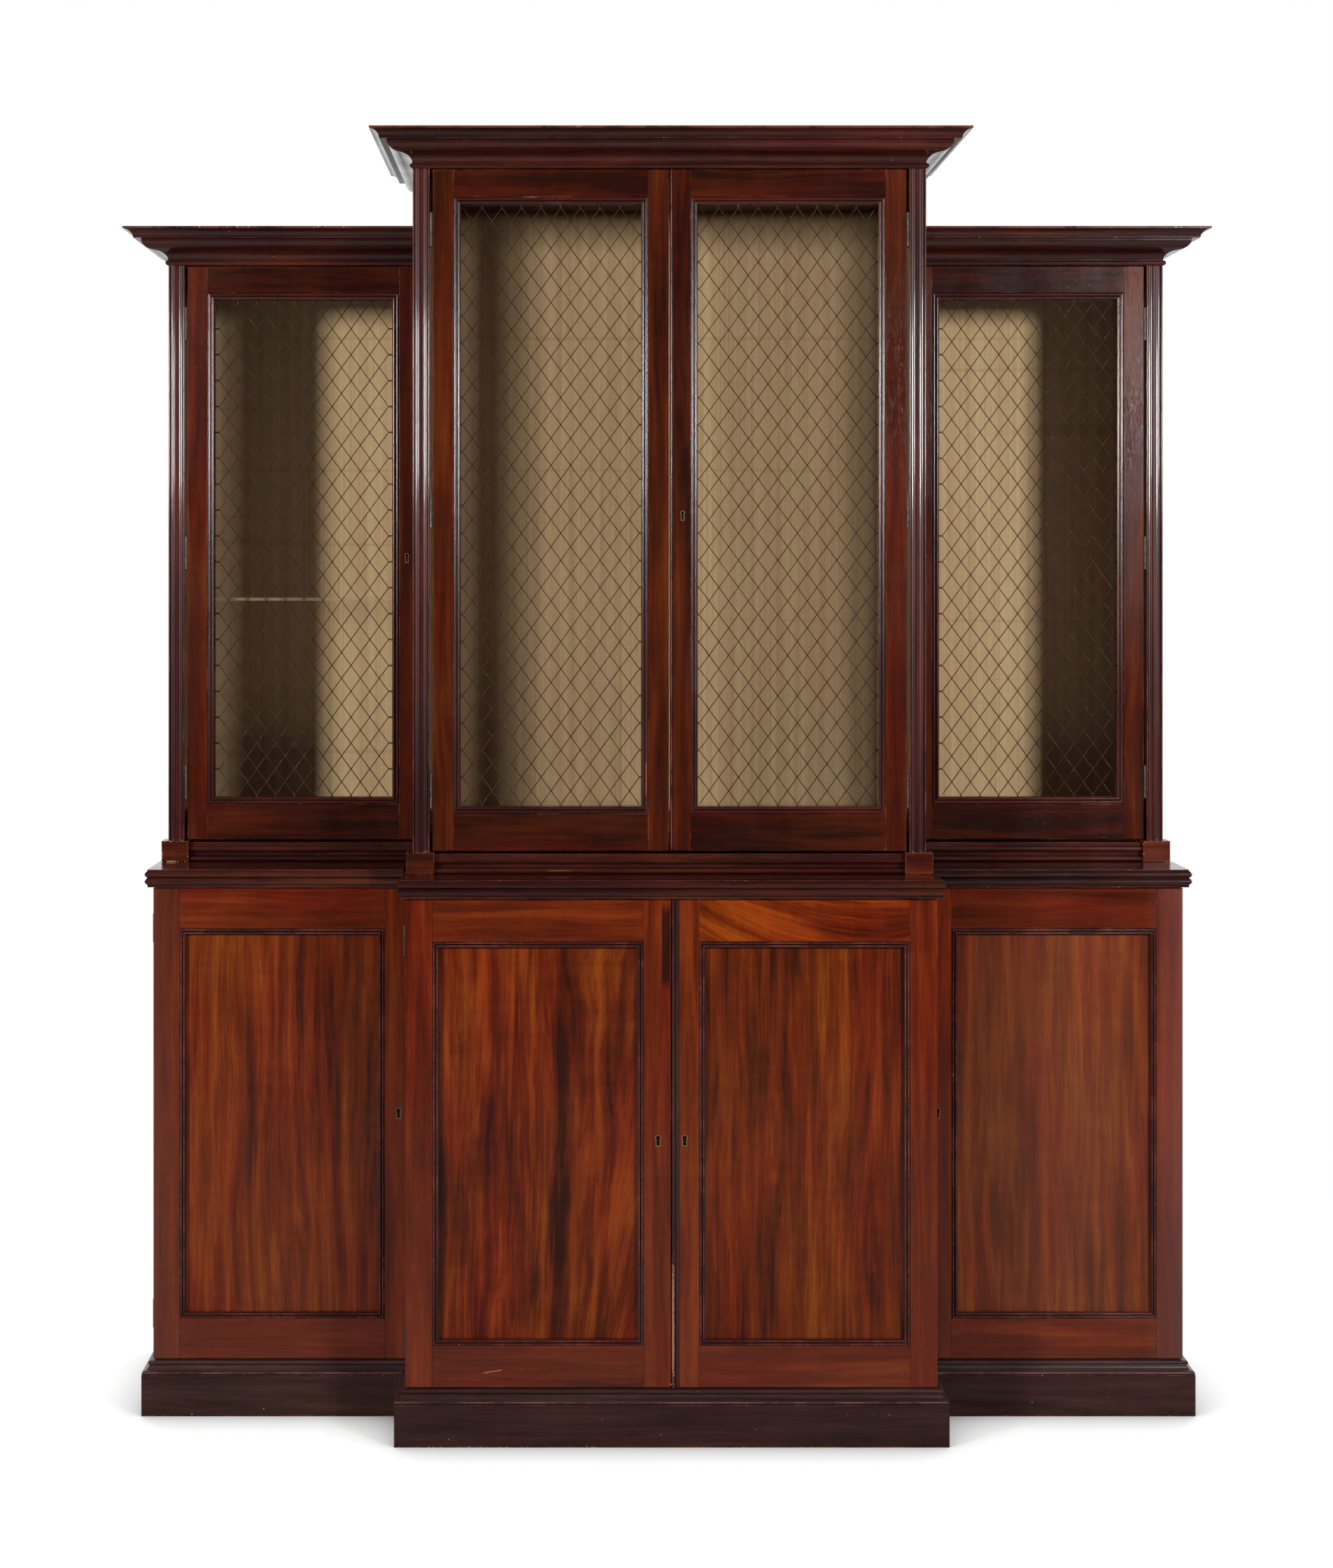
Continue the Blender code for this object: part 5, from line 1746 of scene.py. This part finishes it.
UPPER = DoorKind(
    "upper", 0.038, 0.050, 0.068, 0.013, 0.002, "upper_frame_mahogany", "dark_mahogany",
    0.0026, 0.0031, 0.0015, 0.063, 0.110, ("bottom", "middle", "top"), -2.6, (0.0030, 0.0019, 0.016),
)
LOWER = DoorKind(
    "lower", 0.049, 0.076, 0.075, 0.011, 0.006, "lower_frame_mahogany", "mahogany",
    0.0023, 0.0026, 0.0228, 0.054, 0.078, ("bottom", "top"), -0.5, (0.0043, 0.0030, 0.0182),
)


@dataclass
class Door:
    """A hung door: stiles, rails, mouldings, infill, lock and hinges."""

    name: str
    kind: DoorKind
    hinge_edge: float
    free_edge: float
    face: float
    bottom: float
    top: float
    lock: float
    keyhole: bool = True
    bead: tuple[float, float, int] | None = None
    thickness: float = 0.022
    veneer: str = "figured_veneer"
    arched: bool = False

    @property
    def hand(self) -> int:
        """1 where the door hangs on its left edge, -1 where it hangs on its right."""
        return 1 if self.free_edge > self.hinge_edge else -1

    @property
    def body(self) -> str:
        """The CAD body that the door is."""
        return f"door_{self.label}"

    @property
    def label(self) -> str:
        """The start of its pieces' names."""
        return f"{self.kind.stage}_{self.name}"

    def sight(self) -> tuple[float, float, float, float]:
        """Left, right, bottom and top of what shows inside the moulding.

        Returns:
            The four bounds, in metres.
        """
        kind = self.kind
        left, right = sorted((self.hinge_edge, self.free_edge))
        side, foot, head = (rim + kind.moulding for rim in (kind.stile, kind.bottom_rail, kind.top_rail))
        return left + side, right - side, self.bottom + foot, self.top - head

    def build(self) -> None:
        """Makes every piece of the door."""
        self.frame()
        self.mouldings()
        if self.kind is LOWER:
            self.panel()
        else:
            Grille(self, rows=22 if self.name.startswith("centre") else 19).build()
        for k, level in enumerate(self.kind.hinge_names):
            Hinge(self, level, k).build()

    def keyhole_outline(self, grow: float = 0.0) -> list[Pair]:
        """A round head over a slot, in x and z, made larger by grow.

        Args:
            grow: How much wider it is than the keyhole.

        Returns:
            The outline.
        """
        x = self.free_edge - self.hand * 0.023
        radius, slot, height = self.kind.keyhole
        radius, slot, height = radius + grow, slot + grow, height + 2 * grow
        head, foot = self.lock + height / 2 - radius, self.lock - height / 2
        meet = math.degrees(math.asin(slot / radius))
        top = arc((x, head), (radius, radius), meet - 90, 270 - meet, 14)
        return [*top, (x - slot, foot), (x + slot, foot)]

    def pockets(self) -> list[Recess]:
        """The mortise in the free edge, for the door's own bolt or the other leaf's, and the keyhole.

        Returns:
            The recesses in its free stile.
        """
        own = self.name != "centre_left"
        bolt = f"lock_bolt_{self.kind.stage}_{self.name if own else 'centre_right'}"
        made = [bolt_pocket(bolt, self.hand, BOLT_POCKET_DEPTH if own else STRIKE_DEPTH)]
        if self.keyhole:
            made.append(Recess(1, -1, self.keyhole_outline(0.0013), KEYHOLE_DEPTH))
        return made

    def frame(self) -> None:
        """Stiles the whole height of the door, with the rails between them."""
        kind, front, back = self.kind, self.face, self.face + self.thickness
        left, right = sorted((self.hinge_edge, self.free_edge))
        inner_left, inner_right = left + kind.stile, right - kind.stile
        solid = Solid(f"{self.label}_frame")
        for x0, x1 in ((left, inner_left), (inner_right, right)):
            pockets = self.pockets() if self.free_edge in (x0, x1) else ()
            solid.board((x0, front, self.bottom), (x1, back, self.top), Axis.Z, ease=0.0007, recesses=pockets)
        ease = (0.00025, 0.0007, 0.0007)
        for z0, z1 in ((self.bottom, self.bottom + kind.bottom_rail), (self.top - kind.top_rail, self.top)):
            low, high = (inner_left + SKIN, front + SKIN, z0), (inner_right - SKIN, back, z1)
            slot = 2 if self.arched and z0 > self.bottom else 0
            solid.board(low, high, Axis.X, slot, ease=ease, tone=kind.rail_tone)
        if self.bead:
            width, rise, count = self.bead
            run = [(across, 0.0005 + height) for across, height in reeds(0.0, width, count, rise)]
            section = Section([(0.0, -0.001), *run, (width, -0.001)], ease=0.0002, margin=0.0012)
            origin, height = (self.free_edge, front, self.bottom + SEAT), self.top - self.bottom - 2 * SEAT
            solid.run(section, origin, UP, LEFT * self.hand, FRONT, height, slot=1)
        finishes = (kind.finish, "door_moulding", "arched_mahogany")
        solid.finish(finishes, self.body, [f"{kind.stage}_door_frame_{self.name}"], kind.slot)
        if self.keyhole:
            brass = Solid(f"{self.label}_keyhole_lining")
            brass.collar(self.keyhole_outline(0.0012), self.keyhole_outline(), front - 0.00015, front + 0.004)
            brass.finish(["pale_brass"], self.body, (), "brass")

    def mouldings(self) -> None:
        """Two reeds round the opening in front, and a plain bead behind."""
        width, back = self.kind.moulding, -self.thickness
        half = self.kind.infill / 2 + SKIN
        rebate, behind = back / 2 + half, back / 2 - half
        reeded = [(0.0, rebate)] + [(out, rise - 0.0005) for out, rise in reeds(0.0, width, 2, 0.002)]
        plain = [(0.0, behind), *arc((0.003, back + 0.003), (0.003, 0.003), 180, 270, 5), (width, back)]
        left, right, low, high = self.sight()
        legs = (
            (left, low, RIGHT, -UP, right - left),
            (right, low, UP, RIGHT, high - low),
            (right, high, LEFT, UP, right - left),
            (left, high, -UP, LEFT, high - low),
        )
        for name, outline, end, finish in (
            ("moulding", reeded, rebate, "door_moulding"),
            ("inner_bead", plain, behind, self.kind.finish),
        ):
            section = Section([*outline, (width, end)], ease=0.0003, margin=0.0012)
            solid = Solid(f"{self.label}_{name}")
            for x, z, along, out, length in legs:
                solid.run(section, (x, self.face, z), along, out, FRONT, length, (1, 1))
            solid.finish([finish], self.body, (), self.kind.slot)

    def panel(self) -> None:
        """The veneered panel."""
        node = f"lower_door_panel_{self.name}"
        solid = Solid(f"{self.label}_panel")
        solid.board(*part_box(node), Axis.Z)
        solid.finish([self.veneer], self.body, [node], "figured_veneer")


@dataclass
class Hinge:
    """A brass butt: five knuckles on a pin, with a leaf on the carcass and one on the door."""

    door: Door
    level: str
    rank: int
    leaf: float = 0.001
    reach: float = 0.018
    knuckles: int = 5

    def build(self) -> None:
        """Makes the fixed half on the carcass and the moving half on the door."""
        door, kind, hand = self.door, self.door.kind, self.door.hand
        r, half = kind.barrel, kind.hinge_length / 2
        run = door.top - door.bottom - 2 * kind.hinge_inset
        z = door.bottom + kind.hinge_inset + run * self.rank / (len(kind.hinge_names) - 1)
        x, y = door.hinge_edge - hand * kind.axis_out, door.face + kind.axis_depth
        node = f"{kind.stage}_hinge_{door.name}_{self.level}"
        fixed, moving = (Solid(f"{node}_{part}") for part in ("fixed", "moving"))
        step, gap, ease = 2 * half / self.knuckles, 0.0001, 0.00035
        ends = [(0.0, gap), (r - ease, gap), (r, gap + ease)]
        profile = ends + [(radius, step - along) for radius, along in ends[::-1]]
        for k in range(self.knuckles):
            (moving if k % 2 else fixed).turned(profile, Vector((x, y, z - half + step * k)), UP)
        # Each leaf: the level of its screwed face, the level of its other face, the way it looks, its ease
        if kind is UPPER:
            inner = x + hand * (r - 0.0005), x + hand * (kind.axis_out - SKIN)
            leaves = (
                (fixed, x - hand * (r - self.leaf), x - hand * r, RIGHT * hand, 0.0002),
                (moving, *inner, LEFT * hand, 0.0002),
            )
        else:
            back = door.face + door.thickness
            leaves = (
                (fixed, y - self.leaf / 2, y + self.leaf / 2, FRONT, 0.0002),
                (moving, back + 0.0002, back - 0.0004, BACK, 0.0001),
            )

        def spot(level: float, across: float, up: float) -> Triple:
            """A place on a leaf that lies across the door's edge, or on one that lies in its plane."""
            return (level, y + across, z + up) if kind is UPPER else (x + hand * across, level, z + up)

        for solid, near, far, way, ease in leaves:
            corners = zip(spot(near, 0.0, -half), spot(far, self.reach, half))
            low, high = zip(*(sorted(pair) for pair in corners))
            solid.board(low, high, Axis.Z, ease=ease)
            body = "carcass" if solid is fixed else door.body
            solid.finish(["dull_brass"], body, [node], "brass")
            places = [spot(near, 0.010 if k else 0.014, k * half * 0.62) for k in (-1, 0, 1)]
            Screws.spots.setdefault((body, door.label), []).extend((place, way) for place in places)


class Screws:
    """The countersunk screws of the hinge leaves: place and facing of each, by body and door."""

    spots: dict[tuple[str, str], list[tuple[Triple, Vector]]] = {}

    @staticmethod
    def tree() -> bpy.types.NodeTree:
        """A slotted head set on every point, turned to face the way that the point says.

        Returns:
            The geometry tree.
        """
        inputs = {"Geometry": "Geometry"} | dict.fromkeys(("Head Radius", "Head Rise", "Slot Width"), "Float")
        inputs["Material"] = "Material"
        w, given = Writer.start("screw_heads", "Geometry", inputs, {"Geometry": "Geometry"})
        radius, rise = given["Head Radius"], given["Head Rise"]
        head = w.get("GeometryNodeMeshCylinder", Vertices=16, Radius=radius, Depth=rise)
        slot = w.get("GeometryNodeMeshCube", Size=w.join(radius * 2.4, given["Slot Width"], rise * 1.2))
        lift = w.get("GeometryNodeTransform", Geometry=slot, Translation=w.join(z=rise * 0.7))
        parts = {"Mesh_1": head, "Mesh_2": lift}
        cut = w.get("GeometryNodeMeshBoolean", operation="DIFFERENCE", solver="EXACT", **parts)
        way = w.get("GeometryNodeInputNamedAttribute", data_type="FLOAT_VECTOR", Name="facing")
        turn = w.get("FunctionNodeAlignRotationToVector", axis="Z", Vector=way)
        spin = w.get("FunctionNodeRandomValue", data_type="FLOAT", Max=3.14, Seed=7)
        local = w.get("FunctionNodeAxisAngleToRotation", Angle=spin)
        turned = w.get("FunctionNodeRotateRotation", turn, local, rotation_space="LOCAL")
        heads = w.get("GeometryNodeInstanceOnPoints", Points=given["Geometry"], Instance=cut, Rotation=turned)
        real = w.get("GeometryNodeRealizeInstances", heads)
        return w.result(Geometry=w.get("GeometryNodeSetMaterial", Geometry=real, Material=given["Material"]))

    @classmethod
    def build(cls) -> None:
        """Sets the screws of each door on its two bodies."""
        tree = cls.tree()
        values = {"Head Radius": 0.0021, "Head Rise": 0.00016, "Slot Width": 0.0006}
        values["Material"] = Materials.get("screw_steel")
        for (body, label), spots in sorted(cls.spots.items()):
            mesh = bpy.data.meshes.new("screw_points")
            mesh.from_pydata([place for place, _ in spots], [], [])
            facing = mesh.attributes.new("facing", "FLOAT_VECTOR", "POINT")
            facing.data.foreach_set("vector", [c for _, way in spots for c in way])
            side = "fixed" if body == "carcass" else "moving"
            from_nodes(f"{label}_hinge_screws_{side}", mesh, tree, values, body)


def from_nodes(
    name: str, mesh: bpy.types.Mesh, tree: bpy.types.NodeTree, values: dict[str, object], body: str,
    nodes: Sequence[str] = (),
) -> None:
    """Runs a geometry tree on a mesh and keeps the result as a plain piece.

    Args:
        name: The piece's name.
        mesh: What the tree starts from.
        tree: The geometry tree.
        values: The tree's inputs by name.
        body: The CAD body that the piece rides on.
        nodes: The CAD nodes that it stands for.
    """
    host = linked(f"{name}_host", mesh)
    modifier = host.modifiers.new("shape", "NODES")
    modifier.node_group = tree
    for item in tree.interface.items_tree:
        if item.item_type == "SOCKET" and item.in_out == "INPUT" and item.name in values:
            modifier[item.identifier] = values[item.name]
    depsgraph = bpy.context.evaluated_depsgraph_get()
    made = bpy.data.meshes.new_from_object(host.evaluated_get(depsgraph))
    made.name = name
    bpy.data.objects.remove(host, do_unlink=True)
    placed(name, made, body, nodes)


@dataclass
class Grille:
    """Crossed wires woven over and under one another, hooked over a rod along the top."""

    door: Door
    columns: int = 9
    rows: int = 22
    pitch: float = 0.0362
    radius: float = 0.00085
    stem: float = 0.0055
    foot: float = 0.003

    @staticmethod
    def tree() -> bpy.types.NodeTree:
        """Both runs of wire with their bent ends, the rod and the ties on it.

        Returns:
            The geometry tree.
        """
        known = bpy.data.node_groups.get("wire_lattice")
        if known:
            return known
        sizes = ("Width", "Height", "Columns", "Rows", "Stub", "Stem", "Radius")
        inputs = {"Geometry": "Geometry", **dict.fromkeys(sizes, "Float"), "Corner": "Vector"}
        inputs["Material"] = "Material"
        w, given = Writer.start("wire_lattice", "Geometry", inputs, {"Geometry": "Geometry"})
        width, height, columns, rows, stub, stem, radius = (given[size] for size in sizes)
        px, pz = width / columns, height / rows
        level = height + stem
        join = w.node("GeometryNodeJoinGeometry")
        for way in (1.0, -1.0):
            w.feed(join.inputs[0], Grille.wires(w, way, px, pz, columns, rows, stub, radius))
        w.feed(join.inputs[0], Grille.rod(w, width, level, stub, radius))
        w.feed(join.inputs[0], Grille.ties(w, px, columns, level, radius))
        real = w.get("GeometryNodeRealizeInstances", w.outputs(join)["Geometry"])
        move = w.get("GeometryNodeTransform", Geometry=real, Translation=given["Corner"])
        smooth = w.get("GeometryNodeSetShadeSmooth", move)
        painted = w.get("GeometryNodeSetMaterial", Geometry=smooth, Material=given["Material"])
        return w.result(Geometry=painted)

    @staticmethod
    def tube(w: Writer, curve: Val, radius: Val, sides: int) -> Val:
        """A curve as a wire."""
        ring = w.get("GeometryNodeCurvePrimitiveCircle", Resolution=sides, Radius=radius)
        return w.get("GeometryNodeCurveToMesh", Curve=curve, Profile_Curve=ring, Fill_Caps=True)

    @staticmethod
    def wires(
        w: Writer, way: float, px: Val, pz: Val, columns: Val, rows: Val, stub: Val, radius: Val
    ) -> Val:
        """One run of slanted wires, each bent level at a side and upright at the top or foot.

        Args:
            w: Where it is written.
            way: 1 for wires that rise to the right, -1 for those that rise to the left.
            px: Width of a mesh.
            pz: Height of a mesh.
            columns: How many meshes lie side by side.
            rows: How many lie above one another.
            stub: Length of the bent ends.
            radius: Half the thickness of a wire.

        Returns:
            The wires' geometry.
        """
        geometry = w.get("GeometryNodeMeshLine", Count=rows + columns - 1.0)
        # The wire crosses the foot this many meshes from the left corner
        rank = w.get("GeometryNodeInputIndex") + (1.0 - rows if way > 0 else 1.0)
        first, last = (rank * -1.0, columns - rank) if way > 0 else (rank - columns, rank)
        reach = stub / px
        first, last = first.above(0.0) - reach, w.maths("MINIMUM", last, rows) + reach
        for name, value in (("rank", rank), ("first", first), ("last", last)):
            store = {"data_type": "FLOAT", "domain": "POINT", "Name": name, "Value": value}
            geometry = w.get("GeometryNodeStoreNamedAttribute", Geometry=geometry, **store)
        wire = w.get("GeometryNodeCurvePrimitiveLine", End=(0, 0, 1))
        lay = w.get("GeometryNodeInstanceOnPoints", Points=geometry, Instance=wire)
        real = w.get("GeometryNodeRealizeInstances", lay)
        rank, first, last = (
            w.get("GeometryNodeInputNamedAttribute", data_type="FLOAT", Name=name)
            for name in ("rank", "first", "last")
        )
        turns = (last - first) * w.get("GeometryNodeSplineParameter", output="Factor") + first
        spot = w.join(x=(turns * way + rank) * px, z=turns * pz)
        put = w.get("GeometryNodeSetPosition", Geometry=real, Position=spot)
        divide = w.get("GeometryNodeResampleCurve", mode="LENGTH", Curve=put, Length=pz / 9.0)
        x, _, z = w.split(w.get("GeometryNodeInputPosition"))
        over_x, over_z = (
            value - w.maths("MINIMUM", value, pitch * count).above(0.0)
            for value, pitch, count in ((x, px, columns), (z, pz, rows))
        )
        beyond_x, beyond_z = (w.maths("GREATER_THAN", over.size(), 0.0001) for over in (over_x, over_z))
        slope, apart = pz / px, radius * (1.15 * way)
        bent = w.join(
            apart * beyond_z + over_z * -way / slope,
            w.maths("COSINE", z / pz * (2 * math.pi)) * radius * (0.95 * way),
            apart * beyond_x + over_x * -way * slope,
        )
        weave = w.get("GeometryNodeSetPosition", Geometry=divide, Offset=bent)
        return Grille.tube(w, weave, radius, 6)

    @staticmethod
    def rod(w: Writer, width: Val, level: Val, stub: Val, radius: Val) -> Val:
        """The rod that the wires hook over.

        Args:
            w: The writer that it is written with.
            width: Width of all the meshes.
            level: Height of the rod.
            stub: How far it runs past them.
            radius: Half the thickness of a wire.

        Returns:
            The rod's geometry.
        """
        start, end = (w.join(x=x, z=level) for x in (stub * -1.0, width + stub))
        line = w.get("GeometryNodeCurvePrimitiveLine", Start=start, End=end)
        return Grille.tube(w, line, radius * 1.1, 8)

    @staticmethod
    def ties(w: Writer, px: Val, columns: Val, level: Val, radius: Val) -> Val:
        """A turn of wire round the rod over each top mesh corner.

        Args:
            w: The writer that it is written with.
            px: Width of a mesh.
            columns: How many meshes lie side by side.
            level: Height of the rod.
            radius: Half the thickness of a wire.

        Returns:
            The ties' geometry.
        """
        start, step, wide = w.join(z=level), w.join(x=px), radius * 1.9
        line = w.get("GeometryNodeMeshLine", Count=columns + 1.0, Start_Location=start, Offset=step)
        coil = w.get(
            "GeometryNodeCurveSpiral", Resolution=10, Rotations=2.0, Start_Radius=wide, End_Radius=wide,
            Height=radius * 4.0,
        )
        tie = Grille.tube(w, coil, radius * 0.8, 5)
        return w.get("GeometryNodeInstanceOnPoints", Points=line, Instance=tie, Rotation=(0, math.pi / 2, 0))

    def build(self) -> None:
        """Makes the grille of its door."""
        door = self.door
        left, right, low, high = door.sight()
        width = self.columns * self.pitch
        side = (right - left - width) / 2
        values = {
            "Width": width,
            "Height": high - low - self.stem - self.foot,
            "Columns": float(self.columns),
            "Rows": float(self.rows),
            "Stub": side + 0.005,
            "Stem": self.stem - self.radius,
            "Radius": self.radius,
            "Corner": Vector((left + side, door.face + door.thickness / 2, low + self.foot)),
            "Material": Materials.get("bronzed_wire"),
        }
        mesh, nodes = bpy.data.meshes.new("lattice_host"), [f"upper_grille_{door.name}"]
        from_nodes(f"{door.label}_wire_grille", mesh, self.tree(), values, door.body, nodes)


# Studio


@dataclass
class Studio:
    """The camera, two tall soft lights, a weak fill, lights behind, and a white floor."""

    camera_place: Triple = (-0.168, -4.4505, 1.558)
    focal: float = 53.56
    shift: Pair = (0.0564, -0.1312)
    left_light: float = 136.0
    right_light: float = 85.0
    back_light: float = 60.0
    fill: float = 0.06

    def build(self) -> None:
        """Sets the stage."""
        scene = bpy.context.scene
        scene.view_settings.view_transform = "Standard"
        lens = bpy.data.cameras.new("camera")
        lens.lens = self.focal
        lens.shift_x, lens.shift_y = self.shift
        camera = linked("camera", lens)
        camera.location = self.camera_place
        camera.rotation_euler = (math.pi / 2, 0, 0)
        scene.camera = camera
        self.softbox("softbox_left", (-3.6, -3.3, 2.2), 1.3, (0.65, 0.68), self.left_light)
        self.softbox("softbox_right", (2.43, -3.03, 2.2), 1.3, (0.6, 0.58), self.right_light)
        self.softbox("back_left", (-3.2, 3.6, 2.4), 1.2, (1.2, 1.2), self.back_light)
        self.softbox("back_right", (3.2, 3.6, 2.4), 1.2, (1.2, 1.2), self.back_light)
        self.world()
        self.floor()

    @staticmethod
    def softbox(name: str, place: Triple, target: float, size: Pair, power: float) -> None:
        """Hangs a light that faces the bookcase at a target height.

        Args:
            name: Its name.
            place: Where it hangs.
            target: The height that it faces.
            size: Its width and height.
            power: Its power in watts.
        """
        light = bpy.data.lights.new(name, "AREA")
        light.shape = "RECTANGLE"
        light.size, light.size_y = size
        light.energy = power
        obj = linked(name, light)
        obj.location = place
        obj.rotation_euler = (UP * target - Vector(place)).to_track_quat("-Z", "Y").to_euler()

    def world(self) -> None:
        """White where the camera looks, and behind the bookcase in reflections; dim elsewhere."""
        world = bpy.data.worlds.new("studio")
        bpy.context.scene.world = world
        world.use_nodes = True
        world.node_tree.nodes.clear()
        w = Writer(world.node_tree)
        rays = w.outputs(w.node("ShaderNodeLightPath"))
        behind = w.spread(w.split(w.get("ShaderNodeTexCoord", output="Generated"))[1], 0.15, 0.4)
        mirrored = w.maths("ADD", rays["Is Glossy Ray"], rays["Is Transmission Ray"], clamp=True)
        seen = w.maths("ADD", rays["Is Camera Ray"], mirrored * behind, clamp=True)
        dim, white = (
            w.get("ShaderNodeBackground", (1, 1, 1, 1), strength) for strength in (self.fill, 1.0)
        )
        w.node("ShaderNodeOutputWorld", w.get("ShaderNodeMixShader", seen, dim, white))

    @staticmethod
    def floor(half: float = 14.0) -> None:
        """A white paper floor that keeps the bookcase's shadow, with a painted contact shadow in its glow.

        Args:
            half: Half its width.
        """
        mesh = bpy.data.meshes.new("floor")
        corners = [(-half, -half, 0), (half, -half, 0), (half, half, 0), (-half, half, 0)]
        mesh.from_pydata(corners, [], [(0, 1, 2, 3)])
        obj = linked("floor", mesh)
        obj.location.z = -0.0004
        s = Surface("white_paper")
        tint = s.mix(s.noise(s.place, 3.0, 3), (0.36, 0.36, 0.36, 1), (0.40, 0.40, 0.40, 1))
        s.set(Base_Color=tint, Roughness=0.8, Specular_IOR_Level=0.0)
        seen = s.get("ShaderNodeLightPath", output="Is Camera Ray")
        x, y, _ = s.split(s.place)
        far = s.spread(x * x + y * y, 1.0, 7.0, smooth=True)
        # The floor's glow to the camera fades where ambient occlusion finds the bookcase close: a painted
        # contact shadow
        painted_shadow_ao = s.get("ShaderNodeAmbientOcclusion", samples=8, Distance=0.15, output="AO")
        glow = s.get("ShaderNodeEmission", Strength=seen * s.spread(painted_shadow_ao, 0.20, 0.90, 0.0, 0.86))
        near = s.get("ShaderNodeAddShader", Val(s, s.shader.outputs[0]), glow)
        total = s.get("ShaderNodeMixShader", far * seen, near, s.get("ShaderNodeEmission"))
        s.feed(s.tree.nodes["Material Output"].inputs["Surface"], total)
        mesh.materials.append(s.material)
        obj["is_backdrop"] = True


def doors(layout: Layout) -> list[Door]:
    """The eight doors.

    Args:
        layout: The planes and heights.

    Returns:
        The lower doors and then the upper ones, each from left to right.
    """
    gap, meet, clear = 0.0015, 0.001, 0.002
    names = ("left", "centre_left", "centre_right", "right")
    left, centre, right = layout.lower()
    inner, outer = layout.half_centre, layout.half_total
    low, high = layout.plinth_top + clear, layout.waist_bottom - clear
    middle = (low + high) / 2
    lower = [
        Door(name, LOWER, hinge, free, bay.face, low, high, middle + rise)
        for name, hinge, free, bay, rise in zip(
            names, (-outer, -inner, inner, outer), (-inner - gap, -meet, meet, inner + gap),
            (left, centre, centre, right), (0.019, 0.005, 0.005, 0.019),
        )
    ]
    lower[1].veneer = "crown_veneer"
    lower[2].bead, lower[2].arched = (0.0135, 0.002, 2), True
    left, centre, right = layout.upper()
    inset, low = 0.037, layout.foot_top + clear
    inner, outer = layout.half_upper_centre, layout.half_upper_total
    upper = [
        Door(name, UPPER, hinge, free, bay.face, low, bay.top - clear, (low + bay.top - clear) / 2 - 0.010)
        for name, hinge, free, bay in zip(
            names, (inset - outer, inset - inner, inner - inset, outer - inset),
            (-inner - gap, -meet, meet, inner + gap), (left, centre, centre, right),
        )
    ]
    upper[1].keyhole = False
    upper[2].bead = (0.005, 0.0025, 1)
    return lower + upper


def dress_bolts() -> None:
    """Gives the lock bolts their brass."""
    for name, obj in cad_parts.items():
        if name.startswith("lock_bolt"):
            for slot in obj.material_slots:
                slot.material = Materials.get("aged_brass")


def main() -> None:
    """Builds the bookcase and its stage, in order."""
    logging.basicConfig(level=logging.INFO, format="%(message)s")
    layout = Layout()
    Studio().build()
    Plinth(layout).build()
    for bay in layout.lower():
        BaseCase(layout, bay).build()
        WaistBoard(layout, bay).build()
    for bay in layout.upper():
        UpperCase(layout, bay).build()
        Cornice(layout, bay).build()
    LooseShelf().build()
    left, centre, right = layout.upper()
    for name, bay, edge, sign in (
        ("left_outer", left, left.left, 1),
        ("left_inner", centre, centre.left, 1),
        ("right_inner", centre, centre.right, -1),
        ("right_outer", right, right.right, -1),
    ):
        Pilaster(f"pilaster_{name}", layout, bay, edge, sign).build()
    for door in doors(layout):
        door.build()
    Screws.build()
    dress_bolts()
    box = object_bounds()
    rounded = ([tuple(round(c, 4) for c in p) for p in pair] for pair in (box, CAD_BOX))
    LOG.info("box %s, CAD box %s", *rounded)


if __name__ == "__main__":
    main()
